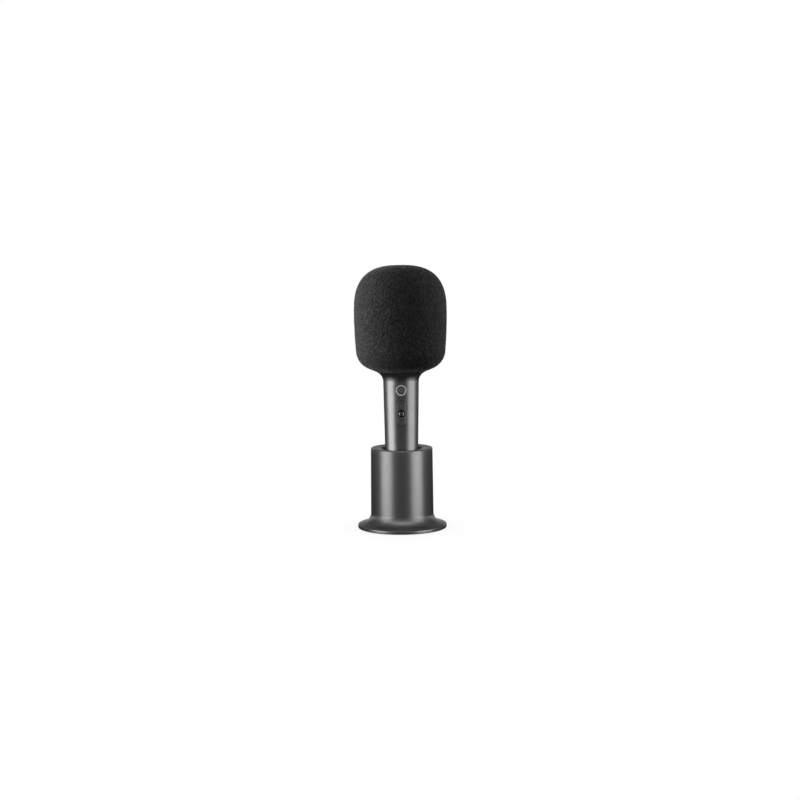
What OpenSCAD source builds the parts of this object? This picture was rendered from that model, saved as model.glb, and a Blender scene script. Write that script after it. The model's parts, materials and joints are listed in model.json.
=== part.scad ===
// Handheld karaoke microphone with a foam-covered head, standing in its weighted stand.
// Frame: +Z up, origin at the middle of the stand's underside, keys on the -Y side. Millimetres.

/* [Head] */
// Largest radius of the foam windscreen
head_r = 44; // [43:0.5:46]
// Height of the top of the foam above the table
head_top_z = 250; // [248:0.5:254]
// Height at which the head is widest
head_wide_z = 205; // [204:0.5:206]
// Exponent of the superellipse that shapes the top of the head
head_power = 2.7; // [2.4:0.05:3]
// Radius of the shallow arc down the head's sides
head_side_r = 430; // [400:5:460]
// Angle through which the side arc turns
head_side_turn = 4.9; // [4.5:0.05:5.2]
// Radius of the head's lower corner
head_corner_r = 19; // [17:0.5:21]
// Slope of the underside of the head above the horizontal
underside_slope = 23; // [20:0.5:26]
// Length of the straight part of that slope
underside_length = 8.4; // [7.5:0.1:9.5]
// Thickness of the foam windscreen
foam_t = 5; // [4.5:0.1:5.2]

/* [Handle] */
// Radius of the hollow curve that flares from the handle to the head
flare_r = 10.3; // [9.8:0.1:10.8]
// Half angle of the handle's taper
handle_taper = 1.03; // [0.9:0.01:1.1]
// Wall of the handle tube
handle_wall = 1.5; // [1.4:0.05:1.6]
// Height of the bottom of the end cap when the microphone stands in the well
mic_bottom_z = 8.5; // [8.5:0.1:10]
// Thickness of the end cap that shows below the tube
end_cap_t = 2.2; // [1.8:0.1:2.4]

/* [Keys] */
// Height of the power key's centre
power_z = 132.7; // [131:0.1:134]
// Radius of the power key
power_r = 3.9; // [3.5:0.05:4]
// Outer radius of the light ring round the power key
light_ring_r = 5.05; // [4.8:0.05:5.05]
// Height of the middle of the volume rocker
rocker_z = 110.4; // [109:0.1:112]
// Width of the volume rocker
rocker_w = 9.4; // [8.8:0.1:9.5]
// Length of the volume rocker
rocker_l = 24.4; // [23:0.1:24.8]
// Radius of the round key in the middle of the rocker
mode_r = 2.9; // [2.4:0.05:3]
// Travel of the push keys
key_travel = 0.4; // [0.3:0.05:0.4]

/* [Stand] */
// Height of the stand's rim
stand_h = 77; // [74:0.5:80]
// Radius of the stand at its rim
rim_r = 29.4; // [28.8:0.1:30]
// Radius of the stand where its wall meets the foot
wall_foot_r = 29.9; // [29.4:0.1:30.4]
// Radius of the foot
foot_r = 42.4; // [41.5:0.1:44]
// Height of the foot's edge
foot_edge_z = 3.6; // [3:0.1:3.8]
// Slope of the top of the foot
foot_slope = 18; // [15:0.5:19]
// Radius of the hollow curve between the wall and the foot
foot_fillet_r = 9.5; // [8:0.1:10]
// Radius of the well's mouth
well_mouth_r = 17.2; // [17:0.1:17.4]
// Radius of the well at its floor
well_floor_r = 15.4; // [15.2:0.1:15.6]

/* [Hidden] */
$fn = 64;

eps = 0.01;
fit_gap = 0.15;

// ---- the head's outline, shared by the foam, the base and the grille ----
head_rise = head_top_z - head_wide_z;
side_centre = [head_r - head_side_r, head_wide_z];
corner_centre = side_centre + (head_side_r - head_corner_r) * [cos(head_side_turn), -sin(head_side_turn)];
corner_end = 90 - underside_slope;
slope_top = corner_centre + head_corner_r * [cos(corner_end), -sin(corner_end)];
slope_dir = [cos(underside_slope), sin(underside_slope)];
slope_out = [sin(underside_slope), -cos(underside_slope)];
slope_foot = slope_top - underside_length * slope_dir;
flare_centre = slope_foot + flare_r * slope_out;
neck_r = flare_centre[0] - flare_r;
neck_z = flare_centre[1];

// Points on a circular arc from angle a0 to a1, in n steps.
function arc(centre, r, a0, a1, n) =
    [for (i = [0:n]) let (a = a0 + (a1 - a0) * i / n) centre + r * [cos(a), sin(a)]];

// The head's outline, inset by t, from the foot of the underside's slope up to the axis at the top.
function head_outline(t) = concat(
    [slope_foot - t * slope_out],
    arc(corner_centre, head_corner_r - t, -corner_end, -head_side_turn, 10),
    [for (i = [1:5]) let (a = -head_side_turn * (1 - i / 5))
        side_centre + (head_side_r - t) * [cos(a), sin(a)]],
    [for (i = [1:24]) let (a = 90 * i / 24)
        [(head_r - t) * pow(max(cos(a), 0), 2 / head_power),
         head_wide_z + (head_rise - t) * pow(sin(a), 2 / head_power)]]
);

// The head's radius at height z on its sides, inset by t.
function side_radius(z, t) =
    side_centre[0] + sqrt(pow(head_side_r - t, 2) - pow(head_wide_z - z, 2));

// Points of the outline between two heights.
function between(points, low, high) = [for (p = points) if (p[1] > low && p[1] < high) p];
function reversed(points) = [for (i = [len(points) - 1:-1:0]) points[i]];

// ---- the handle's outline ----
function handle_radius(z) = neck_r - (neck_z - z) * tan(handle_taper);
tube_bottom_z = mic_bottom_z + end_cap_t;

// ---- heights inside the head ----
web_t = 2.2;
web_top_z = slope_foot[1];
gasket_t = 0.5;
base_floor_z = web_top_z + gasket_t;
base_floor_t = 2.5;
base_top_z = 176;
base_wall = 2;
cage_gap = 0.2;
cage_inset = foam_t + cage_gap;
baffle_t = 2.4;
baffle_top_z = base_top_z + baffle_t;
speaker_hole_r = 24.8;
speaker_flange_r = 31;
speaker_flange_t = 1.6;
speaker_low_z = base_floor_z + base_floor_t + 4.4;
yoke_t = 1.7;
magnet_t = 3.4;
magnet_r = 15;
top_plate_t = 1;
basket_low_z = speaker_low_z + yoke_t + magnet_t + top_plate_t;
basket_floor_t = 1.2;
basket_wall_low = [magnet_r - 0.6, basket_low_z + basket_floor_t];
basket_wall_high = [speaker_hole_r - 1.3, baffle_top_z - 1.2];
pole_r = 6.2;
coil_r = 6.5;
coil_t = 0.6;
cone_low_z = 168;
cone_edge_r = 21.5;
capsule_r = 7;
capsule_z = 222;
capsule_h = 8;
bracket_z = 220;
post_ring_r = 33;
head_screw_ring_r = 14;

// ---- depths inside the handle, along Y ----
board_front_y = -8.8;
board_t = 1.6;
board_back_y = board_front_y + board_t;
switch_h = 1.5;
switch_y = board_front_y - switch_h;
stem_y = switch_y - key_travel - 0.05;
carrier_back_y = -10.8;
carrier_t = 0.8;
carrier_front_y = carrier_back_y - carrier_t;
key_back_y = -12.9;
pivot_y = -12.3;
pivot_r = 0.5;
rocker_arm = 8;
battery_y = 2.4;
battery_r = 9.1;
battery_z = 23;
battery_l = 65;
chassis_t = 1.2;
chassis_top_z = 142;
chassis_cut_y = -6;
board_low_z = 56;
board_high_z = 143;
board_screw_zs = [97, 139.5];

// ---- heights inside the stand ----
pad_r = 38;
pad_t = 1.2;
plate_t = 1.4;
plate_r = foot_r - 2.8;
shell_low_z = 0.3;
plate_top_z = pad_t + plate_t;
stand_wall = 2.2;
funnel_drop = 0.6;
funnel_round_r = 4.8;
lip_low_z = stand_h - 6;
sleeve_wall = 1.6;
well_floor_z = 7;
well_pad_t = mic_bottom_z - well_floor_z - 0.05;
stand_boss_ring_r = 30;
stand_boss_r = 2.6;

// ================= shapes used more than once =================

module ring(r_in, r_out, z0, z1) {
    translate([0, 0, z0])
        difference() {
            cylinder(r = r_out, h = z1 - z0);
            translate([0, 0, -1]) cylinder(r = r_in, h = z1 - z0 + 2);
        }
}

module disc(r, z0, z1) {
    translate([0, 0, z0]) cylinder(r = r, h = z1 - z0);
}

// A round bar along Y from y0 to y1.
module bar_y(x, z, r, y0, y1) {
    translate([x, y0, z]) rotate([-90, 0, 0]) cylinder(r = r, h = y1 - y0);
}

// A box from one corner to the opposite one.
module block(low, high) {
    translate(low) cube(high - low);
}

// Round-ended outline, tall along Y, centred on the origin.
module pill_2d(w, l) {
    square([w, l - w], center = true);
    for (s = [-1, 1]) translate([0, s * (l - w) / 2]) circle(r = w / 2);
}

// Round-ended bar along Y from y0 to y1, tall along Z, centred at height z.
module pill_bar(w, l, z, y0, y1) {
    translate([0, y1, z]) rotate([90, 0, 0]) linear_extrude(y1 - y0) pill_2d(w, l);
}

// The handle's tapered outside between two heights, grown by g, which trims key faces to the handle's curve.
module handle_cone(z0, z1, g) {
    translate([0, 0, z0]) cylinder(r1 = handle_radius(z0) + g, r2 = handle_radius(z1) + g, h = z1 - z0);
}

// A screw along +Z whose head starts at z: countersunk if sink > 0.
module screw_up(r, shank_l, head_r, head_h) {
    cylinder(r1 = head_r, r2 = r, h = head_h);
    translate([0, 0, head_h - eps]) cylinder(r = r, h = shank_l - head_h + eps);
}

// Copies along the vertical axis at the given radius.
module around(count, radius, start) {
    for (i = [0:count - 1]) rotate([0, 0, start + i * 360 / count]) translate([radius, 0, 0]) children();
}

// Position on a smooth curve through the points p, where u runs from 0 to len(p) - 1.
function curve_at(p, u) = let (
    n = len(p) - 1,
    i = min(floor(u), n - 1),
    f = u - i,
    a = p[max(i - 1, 0)], b = p[i], c = p[i + 1], d = p[min(i + 2, n)]
) b + f * (c - a) / 2 + f * f * (a - 2.5 * b + 2 * c - d / 2) + f * f * f * ((d - a) / 2 + 1.5 * (b - c));

function unit(v) = v / norm(v);

// A wire of radius r swept along a smooth curve through the points p.
module wire(p, r, steps) {
    sides = 8;
    count = (len(p) - 1) * steps;
    centres = [for (k = [0:count]) curve_at(p, k / steps)];
    along = [for (k = [0:count]) unit(centres[min(k + 1, count)] - centres[max(k - 1, 0)])];
    ring_points = [for (k = [0:count]) let (
        x_dir = unit(cross(along[k], [1, 0.13, 0.07])),
        y_dir = cross(along[k], x_dir)
    ) for (j = [0:sides - 1]) centres[k] + r * (cos(360 * j / sides) * x_dir + sin(360 * j / sides) * y_dir)];
    walls = [for (k = [0:count - 1], j = [0:sides - 1])
        let (a = k * sides + j, b = k * sides + (j + 1) % sides) [a, a + sides, b + sides, b]];
    low_cap = [[for (j = [0:sides - 1]) j]];
    high_cap = [[for (j = [sides - 1:-1:0]) count * sides + j]];
    polyhedron(concat(ring_points), concat(low_cap, walls, high_cap), convexity = 8);
}

// ================= stand =================

fillet_x = wall_foot_r + foot_fillet_r;
foot_top_round = 0.5;
foot_low_round = 0.8;
fillet_rise = (foot_r - foot_top_round - fillet_x) * tan(foot_slope) + foot_fillet_r / cos(foot_slope);
fillet_z = foot_edge_z + fillet_rise;
rim_round = 1.3;

function stand_outside() = concat(
    arc([foot_r - foot_low_round, shell_low_z + foot_low_round], foot_low_round, -90, 0, 5),
    arc([foot_r - foot_top_round, foot_edge_z - foot_top_round], foot_top_round, 0, 90 - foot_slope, 4),
    arc([fillet_x, fillet_z], foot_fillet_r, 270 - foot_slope, 180, 14),
    arc([rim_r - rim_round, stand_h - rim_round], rim_round, 0, 90, 6)
);

// Down the funnel, whose gentle slope rolls over into the well's mouth, and back under the shell.
funnel_x = well_mouth_r + funnel_round_r;
function stand_inside() = concat(
    arc([funnel_x, stand_h - funnel_drop - funnel_round_r], funnel_round_r, 90, 180, 10),
    [[well_mouth_r, lip_low_z],
     [well_mouth_r + 2.2, lip_low_z],
     [funnel_x, stand_h - 3.2],
     [rim_r - stand_wall - 1.2, stand_h - 2.8],
     [rim_r - stand_wall, stand_h - 4.4]],
    arc([fillet_x, fillet_z], foot_fillet_r + stand_wall, 180, 250, 10),
    [[fillet_x + (foot_fillet_r + stand_wall) * cos(250), plate_top_z],
     [plate_r + 0.2, plate_top_z],
     [plate_r + 0.2, shell_low_z]]
);

module stand_shell() {
    color([0.29, 0.3, 0.31])
        difference() {
            union() {
                rotate_extrude() polygon(concat(stand_outside(), stand_inside()));
                around(4, stand_boss_ring_r, 45) disc(stand_boss_r, plate_top_z, 6.5);
            }
            around(4, stand_boss_ring_r, 45) disc(1.3, 0, 6.1);
        }
}

module well_sleeve() {
    top_r = well_mouth_r - 0.2;
    color([0.12, 0.12, 0.13])
        rotate_extrude() polygon([
            [0, well_floor_z - 2], [well_floor_r, well_floor_z - 2], [well_floor_r, plate_top_z],
            [well_floor_r + sleeve_wall, plate_top_z], [well_floor_r + sleeve_wall, well_floor_z],
            [top_r + sleeve_wall, lip_low_z], [top_r, lip_low_z],
            [well_floor_r, well_floor_z], [0, well_floor_z]
        ]);
}

module well_pad() {
    color([0.2, 0.2, 0.21]) disc(well_floor_r - fit_gap, well_floor_z, well_floor_z + well_pad_t);
}

module ballast_ring() {
    color([0.55, 0.56, 0.58]) ring(well_floor_r + sleeve_wall + 1, 26.8, plate_top_z, 15.5);
}

module base_plate() {
    color([0.1, 0.1, 0.11])
        difference() {
            disc(plate_r, pad_t, plate_top_z);
            around(4, stand_boss_ring_r, 45)
                translate([0, 0, pad_t - eps]) screw_up(1.35, 3, 2.5, 1.1);
        }
}

module stand_screws() {
    color([0.75, 0.75, 0.77])
        around(4, stand_boss_ring_r, 45) translate([0, 0, pad_t]) screw_up(1.25, 4.6, 2.3, 1);
}

module foot_pad() {
    color([0.07, 0.07, 0.07]) disc(pad_r, 0, pad_t);
}

// ================= handle =================

slot_gap = 0.3;
ring_hole_r = light_ring_r + 0.05;
flare_inner_r = flare_r + handle_wall;
web_low_z = web_top_z - web_t;
web_angle = 180 - asin((web_low_z - neck_z) / flare_inner_r);

module handle_shell() {
    color([0.33, 0.34, 0.35])
        difference() {
            rotate_extrude() polygon(concat(
                [[handle_radius(tube_bottom_z), tube_bottom_z]],
                arc(flare_centre, flare_r, 180, 90 + underside_slope, 14),
                [[11, web_top_z], [11, web_low_z]],
                arc(flare_centre, flare_inner_r, web_angle, 180, 8),
                [[handle_radius(tube_bottom_z) - handle_wall, tube_bottom_z]]
            ));
            bar_y(0, power_z, ring_hole_r, -25, -8);
            pill_bar(rocker_w + 2 * slot_gap, rocker_l + 2 * slot_gap, rocker_z, -25, -8);
            around(3, head_screw_ring_r, 90) disc(1.05, web_low_z - 1, web_top_z + 1);
        }
}

module end_cap() {
    plug_r = handle_radius(tube_bottom_z) - handle_wall - 0.05;
    cap_r = handle_radius(mic_bottom_z);
    round_r = 1.2;
    color([0.16, 0.16, 0.17])
        difference() {
            rotate_extrude() polygon(concat(
                [[0, mic_bottom_z]],
                arc([cap_r - round_r, mic_bottom_z + round_r], round_r, -90, 0, 6),
                [[handle_radius(tube_bottom_z), tube_bottom_z], [plug_r, tube_bottom_z],
                 [plug_r, tube_bottom_z + 4.3], [plug_r - 1.5, tube_bottom_z + 4.3],
                 [plug_r - 1.5, tube_bottom_z], [0, tube_bottom_z]]
            ));
            translate([0, 0, mic_bottom_z - 1]) rotate([0, 0, 90]) linear_extrude(5) pill_2d(3.6, 9.4);
            for (s = [-1, 1]) translate([0, s * 9.4, 0]) {
                disc(1.1, mic_bottom_z - 1, tube_bottom_z + 1);
                disc(2, mic_bottom_z - 1, mic_bottom_z + 1.2);
            }
        }
}

module end_cap_screws() {
    color([0.7, 0.7, 0.72])
        for (s = [-1, 1]) translate([0, s * 9.4, 0]) {
            disc(1.8, mic_bottom_z + 0.2, mic_bottom_z + 1.2);
            disc(0.95, mic_bottom_z + 1.2 - eps, mic_bottom_z + 9.6);
        }
}

module usb_socket() {
    low = mic_bottom_z + 0.4;
    color([0.72, 0.73, 0.75])
        translate([0, 0, low]) rotate([0, 0, 90]) {
            difference() {
                linear_extrude(7.3) pill_2d(3.2, 8.9);
                translate([0, 0, -1]) linear_extrude(7.3) pill_2d(2.6, 8.3);
            }
            translate([-0.35, -3.3, 1]) cube([0.7, 6.6, 5.4]);
        }
}

module charge_board() {
    color([0.05, 0.2, 0.12]) block([-6, 1.65, tube_bottom_z + 0.1], [6, 2.65, tube_bottom_z + 5.5]);
}

module battery_cell() {
    color([0.12, 0.3, 0.55])
        translate([0, battery_y, 0]) {
            disc(battery_r, battery_z, battery_z + battery_l - 1);
            disc(2.8, battery_z + battery_l - 1 - eps, battery_z + battery_l);
        }
}

module battery_tabs() {
    color([0.8, 0.78, 0.7]) {
        block([-3, battery_y - 2, battery_z - 0.3], [3, battery_y + 2, battery_z - eps]);
        block([-3, battery_y - 2, battery_z + battery_l + eps], [3, battery_y + 2, battery_z + battery_l + 0.3]);
    }
}

module battery_leads() {
    top = battery_z + battery_l + 0.3;
    color([0.75, 0.1, 0.1])
        wire([[2, battery_y, top + 0.7], [3, 0, top + 3.5], [4, -3.5, top + 6], [4.5, -5.4, top + 9.5],
              [4.5, -5.8, 104]], 0.6, 4);
}

module inner_chassis() {
    low = tube_bottom_z + 5.8;
    gap = handle_wall + fit_gap;
    color([0.18, 0.18, 0.19])
        difference() {
            union() {
                difference() {
                    rotate_extrude() polygon([
                        [handle_radius(low) - gap - chassis_t, low],
                        [handle_radius(low) - gap, low],
                        [handle_radius(neck_z) - gap, neck_z],
                        [handle_radius(neck_z) - gap, chassis_top_z],
                        [handle_radius(neck_z) - gap - chassis_t, chassis_top_z],
                        [handle_radius(neck_z) - gap - chassis_t, neck_z]
                    ]);
                    block([-20, -20, low - 1], [20, chassis_cut_y, chassis_top_z + 1]);
                }
                disc(handle_radius(low) - gap, low, low + 2);
                difference() {
                    disc(handle_radius(89.5) - gap - chassis_t / 2, 89.5, 91);
                    block([-20, -20, 88], [20, chassis_cut_y, 92]);
                    block([1, -7, 88], [7, 4, 92]);
                }
                for (z = board_screw_zs) bar_y(0, z, 2, board_back_y, handle_radius(z) - gap - chassis_t / 2);
            }
            for (s = [-1, 1]) translate([0, s * 9.4, 0]) disc(1, low - 1, low + 3);
            for (z = board_screw_zs) bar_y(0, z, 0.85, board_back_y - 1, board_back_y + 7);
            block([-4, -4, low - 1], [4, 4, low + 3]);
        }
}

module board_screws() {
    color([0.75, 0.75, 0.77])
        for (z = board_screw_zs) {
            bar_y(0, z, 1.6, board_front_y - 1, board_front_y);
            bar_y(0, z, 0.8, board_front_y - eps, board_back_y + 6);
        }
}

module main_board() {
    color([0.05, 0.22, 0.13])
        difference() {
            block([-8.5, board_front_y, board_low_z], [8.5, board_back_y, board_high_z]);
            for (z = board_screw_zs) bar_y(0, z, 0.9, board_front_y - 1, board_back_y + 1);
        }
}

// Parts soldered to the board: [x, z, width, height, depth], on the back where depth is positive.
chip_list = [
    [-3.2, 106, 7, 7, 1.2], [2.6, 118, 10, 13, 1.9], [-5.6, 118, 4, 5, 1.5], [-5, 128, 5, 5, 1.8],
    [4.5, 129.5, 4, 4, 1.8], [-4, 64, 4, 4, -2], [4, 64, 5, 6, -1.2], [0, 75, 6, 6, -2.2], [0, 86, 7, 4, -1.5]
];

module board_chips() {
    color([0.06, 0.06, 0.07])
        for (c = chip_list)
            translate([c[0] - c[2] / 2, c[4] > 0 ? board_back_y : board_front_y + c[4], c[1] - c[3] / 2])
                cube([c[2], abs(c[4]), c[3]]);
}

module key_switches() {
    color([0.7, 0.7, 0.7])
        for (z = [power_z, rocker_z + rocker_arm, rocker_z, rocker_z - rocker_arm]) {
            block([-2, switch_y + 0.5, z - 2], [2, board_front_y, z + 2]);
            bar_y(0, z, 1, switch_y, switch_y + 0.5 + eps);
        }
}

module key_carrier() {
    stem_hole_r = 1.7;
    color([0.14, 0.14, 0.15])
        difference() {
            union() {
                block([-8.4, carrier_front_y, 99.5], [8.4, carrier_back_y, 137]);
                for (x = [-7, 7], z = [106, 126]) bar_y(x, z, 1.1, carrier_back_y - eps, board_front_y);
                for (s = [-1, 1])
                    block([s * 6 - 0.6, pivot_y - 0.8, rocker_z - 1.3],
                          [s * 6 + 0.6, carrier_front_y + eps, rocker_z + 1.3]);
            }
            for (z = [power_z, rocker_z + rocker_arm, rocker_z, rocker_z - rocker_arm])
                bar_y(0, z, stem_hole_r, -14, -10);
            translate([-8, pivot_y, rocker_z]) rotate([0, 90, 0]) cylinder(r = pivot_r + 0.05, h = 16);
        }
}

module power_light_ring() {
    back_y = key_back_y - 0.3;
    color([0.85, 0.87, 0.9])
        difference() {
            union() {
                intersection() {
                    bar_y(0, power_z, light_ring_r, -20, back_y);
                    handle_cone(120, 140, 0.1);
                }
                bar_y(0, power_z, light_ring_r + 1.1, back_y - 0.4, back_y);
            }
            bar_y(0, power_z, power_r + fit_gap, -25, -5);
        }
}

module power_key() {
    color([0.25, 0.26, 0.27]) {
        intersection() {
            bar_y(0, power_z, power_r, -20, key_back_y);
            handle_cone(120, 140, -0.1);
        }
        bar_y(0, power_z, power_r + 0.6, key_back_y - eps, key_back_y + 0.8);
        bar_y(0, power_z, 1.2, key_back_y + 0.8 - eps, stem_y);
    }
}

module volume_rocker() {
    color([0.22, 0.23, 0.24])
        difference() {
            union() {
                intersection() {
                    pill_bar(rocker_w, rocker_l, rocker_z, -20, key_back_y);
                    handle_cone(90, 130, 0.15);
                }
                for (s = [-1, 1]) {
                    block([s * 4.1 - 0.45, key_back_y - eps, rocker_z - 0.9],
                          [s * 4.1 + 0.45, pivot_y + 0.6, rocker_z + 0.9]);
                    translate([s * 5.5 - 1, pivot_y, rocker_z]) rotate([0, 90, 0]) cylinder(r = pivot_r, h = 2);
                    bar_y(0, rocker_z + s * rocker_arm, 1.1, key_back_y - eps, stem_y);
                }
            }
            bar_y(0, rocker_z, mode_r + 0.5, -20, -9);
        }
}

module mode_key() {
    crown_y = -handle_radius(rocker_z) - 0.25;
    crown_r = 8;
    color([0.6, 0.61, 0.63]) {
        intersection() {
            bar_y(0, rocker_z, mode_r, -20, -12.6);
            translate([0, crown_y + crown_r, rocker_z]) sphere(r = crown_r);
        }
        bar_y(0, rocker_z, mode_r + 0.3, -12.6 - eps, -12.1);
        bar_y(0, rocker_z, 1, -12.1 - eps, stem_y);
    }
}

// ================= head =================

module head_base() {
    outside = between(head_outline(cage_inset), 0, base_top_z);
    inside = between(head_outline(cage_inset + base_wall), 0, base_top_z);
    floor_r = 19.2;
    floor_top_z = base_floor_z + base_floor_t;
    color([0.15, 0.15, 0.16])
        difference() {
            rotate_extrude() polygon(concat(
                [[0, base_floor_z], [outside[0][0], base_floor_z]],
                outside,
                [[side_radius(base_top_z, cage_inset), base_top_z],
                 [side_radius(base_top_z, cage_inset + base_wall), base_top_z]],
                reversed(inside),
                [[floor_r, inside[0][1] - (inside[0][0] - floor_r) * tan(underside_slope)],
                 [floor_r, floor_top_z], [0, floor_top_z]]
            ));
            disc(8, base_floor_z - 1, floor_top_z + 1);
            around(3, head_screw_ring_r, 90) disc(1.2, base_floor_z - 1, floor_top_z + 1);
        }
}

module neck_gasket() {
    color([0.1, 0.1, 0.1]) ring(16.8, 20.8, web_top_z, base_floor_z);
}

module head_screws() {
    color([0.75, 0.75, 0.77])
        around(3, head_screw_ring_r, 90) {
            disc(1, web_low_z - 0.4, base_floor_z + base_floor_t + eps);
            disc(2, base_floor_z + base_floor_t, base_floor_z + base_floor_t + 1.6);
        }
}

module speaker_baffle() {
    color([0.17, 0.17, 0.18])
        difference() {
            ring(speaker_hole_r, side_radius(base_top_z, cage_inset) - 0.2, base_top_z, baffle_top_z);
            around(4, 28.6, 45) disc(0.95, base_top_z - 1, baffle_top_z + 1);
            translate([0, -post_ring_r, 0]) disc(1.2, base_top_z - 1, baffle_top_z + 1);
        }
}

module speaker_frame() {
    rim_z = baffle_top_z;
    low_z = basket_low_z;
    color([0.3, 0.3, 0.31])
        difference() {
            rotate_extrude() polygon([
                [8, low_z], [magnet_r, low_z],
                [speaker_hole_r - 0.3, rim_z - 1.5], [speaker_hole_r - 0.3, rim_z],
                [speaker_flange_r, rim_z], [speaker_flange_r, rim_z + speaker_flange_t],
                [speaker_hole_r - 1, rim_z + speaker_flange_t], basket_wall_high,
                basket_wall_low, [8, low_z + basket_floor_t]
            ]);
            around(4, 28.6, 45) disc(1.2, rim_z - 1, rim_z + 3);
            for (a = [22.5:45:337.5])
                rotate([0, 0, a]) block([14.8, -3, low_z + 5.4], [30, 3, rim_z - 3]);
        }
}

module speaker_screws() {
    color([0.75, 0.75, 0.77])
        around(4, 28.6, 45) {
            disc(0.9, base_top_z - 1.5, baffle_top_z + speaker_flange_t + eps);
            disc(1.9, baffle_top_z + speaker_flange_t, baffle_top_z + speaker_flange_t + 1.2);
        }
}

module speaker_yoke() {
    color([0.5, 0.5, 0.52]) {
        disc(magnet_r, speaker_low_z, speaker_low_z + yoke_t);
        disc(pole_r, speaker_low_z + yoke_t - eps, basket_low_z);
    }
}

module speaker_magnet() {
    color([0.22, 0.22, 0.23]) ring(8.6, magnet_r, speaker_low_z + yoke_t, speaker_low_z + yoke_t + magnet_t);
}

module speaker_top_plate() {
    color([0.5, 0.5, 0.52]) ring(7.6, magnet_r, basket_low_z - top_plate_t, basket_low_z);
}

module voice_coil() {
    color([0.72, 0.4, 0.2]) ring(coil_r, coil_r + coil_t, speaker_low_z + yoke_t + 2, cone_low_z);
}

module speaker_cone() {
    cone_t = 0.5;
    cap_h = 3;
    cap_sphere_r = (coil_r * coil_r + cap_h * cap_h) / (2 * cap_h);
    cap_turn = asin(coil_r / cap_sphere_r);
    edge_z = baffle_top_z;
    color([0.13, 0.13, 0.14])
        rotate_extrude() polygon(concat(
            [[0, cone_low_z], [coil_r + coil_t + 0.2, cone_low_z], [cone_edge_r, edge_z],
             [cone_edge_r, edge_z + cone_t], [coil_r + 0.1, cone_low_z + cone_t + 0.3]],
            arc([0, cone_low_z + cap_h - cap_sphere_r + cone_t], cap_sphere_r, 90 - cap_turn, 90, 6)
        ));
}

module speaker_surround() {
    low = baffle_top_z + speaker_flange_t;
    mid_r = (cone_edge_r + speaker_hole_r) / 2;
    roll_r = (speaker_hole_r - cone_edge_r) / 2;
    color([0.09, 0.09, 0.09])
        rotate_extrude() polygon(concat(
            [[cone_edge_r - 1.2, low - 0.4], [cone_edge_r, low - 0.4]],
            arc([mid_r, low], roll_r - 0.4, 180, 0, 8),
            [[speaker_hole_r, low + eps], [speaker_hole_r + 1.6, low + eps],
             [speaker_hole_r + 1.6, low + 0.4], [speaker_hole_r, low + 0.4]],
            arc([mid_r, low], roll_r, 0, 180, 8),
            [[cone_edge_r - 1.2, low]]
        ));
}

module speaker_spider() {
    low = cone_low_z - 0.6;
    along_wall = (low - basket_wall_low[1]) / (basket_wall_high[1] - basket_wall_low[1]);
    outer_r = basket_wall_low[0] + along_wall * (basket_wall_high[0] - basket_wall_low[0]) - 0.1;
    color([0.75, 0.65, 0.35]) ring(coil_r + coil_t + 0.05, outer_r, low, cone_low_z - 0.2);
}

module head_grille() {
    wall = 1.5;
    low = baffle_top_z;
    outside = between(head_outline(cage_inset), low + 1, 400);
    inside = between(head_outline(cage_inset + wall), low + 1, 400);
    slots = 24;
    tier_zs = [190, 206, 222];
    tier_h = 11;
    color([0.24, 0.24, 0.25])
        difference() {
            rotate_extrude() polygon(concat(
                [[side_radius(low, cage_inset + wall), low], [side_radius(low, cage_inset), low]],
                outside, reversed(inside)
            ));
            for (z = tier_zs, i = [0:slots - 1])
                rotate([0, 0, i * 360 / slots]) block([25, -2.6, z - tier_h / 2], [50, 2.6, z + tier_h / 2]);
            around(12, 20, 15) disc(2.6, 225, 255);
            around(8, 11, 0) disc(2.4, 225, 255);
            disc(3, 225, 255);
        }
}

module capsule_bracket() {
    color([0.19, 0.19, 0.2]) {
        ring(capsule_r + 3.6, capsule_r + 5.6, bracket_z, bracket_z + 6);
        for (a = [90, 210, 330]) rotate([0, 0, a]) {
            block([capsule_r + 5, -1.5, bracket_z], [post_ring_r, 1.5, bracket_z + 3]);
            translate([post_ring_r, 0, 0]) disc(1.6, baffle_top_z, bracket_z + 3);
        }
    }
}

module capsule_mount() {
    color([0.11, 0.11, 0.11])
        rotate_extrude() polygon([
            [capsule_r, bracket_z + 1], [capsule_r + 3.6, bracket_z + 1], [capsule_r + 3.6, bracket_z + 6],
            [capsule_r + 4.6, bracket_z + 6], [capsule_r + 4.6, bracket_z + 7.2], [capsule_r, bracket_z + 9]
        ]);
}

module capsule() {
    color([0.65, 0.6, 0.4])
        difference() {
            disc(capsule_r, capsule_z, capsule_z + capsule_h);
            around(6, 4, 0) disc(0.7, capsule_z + capsule_h - 1, capsule_z + capsule_h + 1);
            disc(0.7, capsule_z + capsule_h - 1, capsule_z + capsule_h + 1);
        }
}

module capsule_foam() {
    low = capsule_z + capsule_h + eps;
    color([0.08, 0.08, 0.08])
        rotate_extrude() polygon(concat(
            [[0, low], [capsule_r + 2.5, low]],
            arc([0, low + 2], capsule_r + 2.5, 0, 90, 10)
        ));
}

module capsule_wire() {
    color([0.1, 0.1, 0.1])
        wire([[0, -3, capsule_z - 0.1], [0, -4, 217], [0, -14, 215.5], [0, -28, 214], [0, -33, 208],
              [0, -33, 194], [0, -33, 180], [0, -33, 172], [0, -29, 164.5], [0, -18, 156.2],
              [-2, -8, 154.6], [-4.5, -3, 151], [-4.5, -3, 145], [-4.5, -5, 136]], 0.6, 5);
}

module speaker_wire() {
    color([0.55, 0.1, 0.1])
        wire([[22.8, 3, 173], [24, 3, 167], [22, 2, 161], [17, 1, 156], [8, 0, 154.6], [4.5, -1, 151],
              [4.5, -3, 145], [4.5, -5, 136]], 0.6, 5);
}

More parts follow.
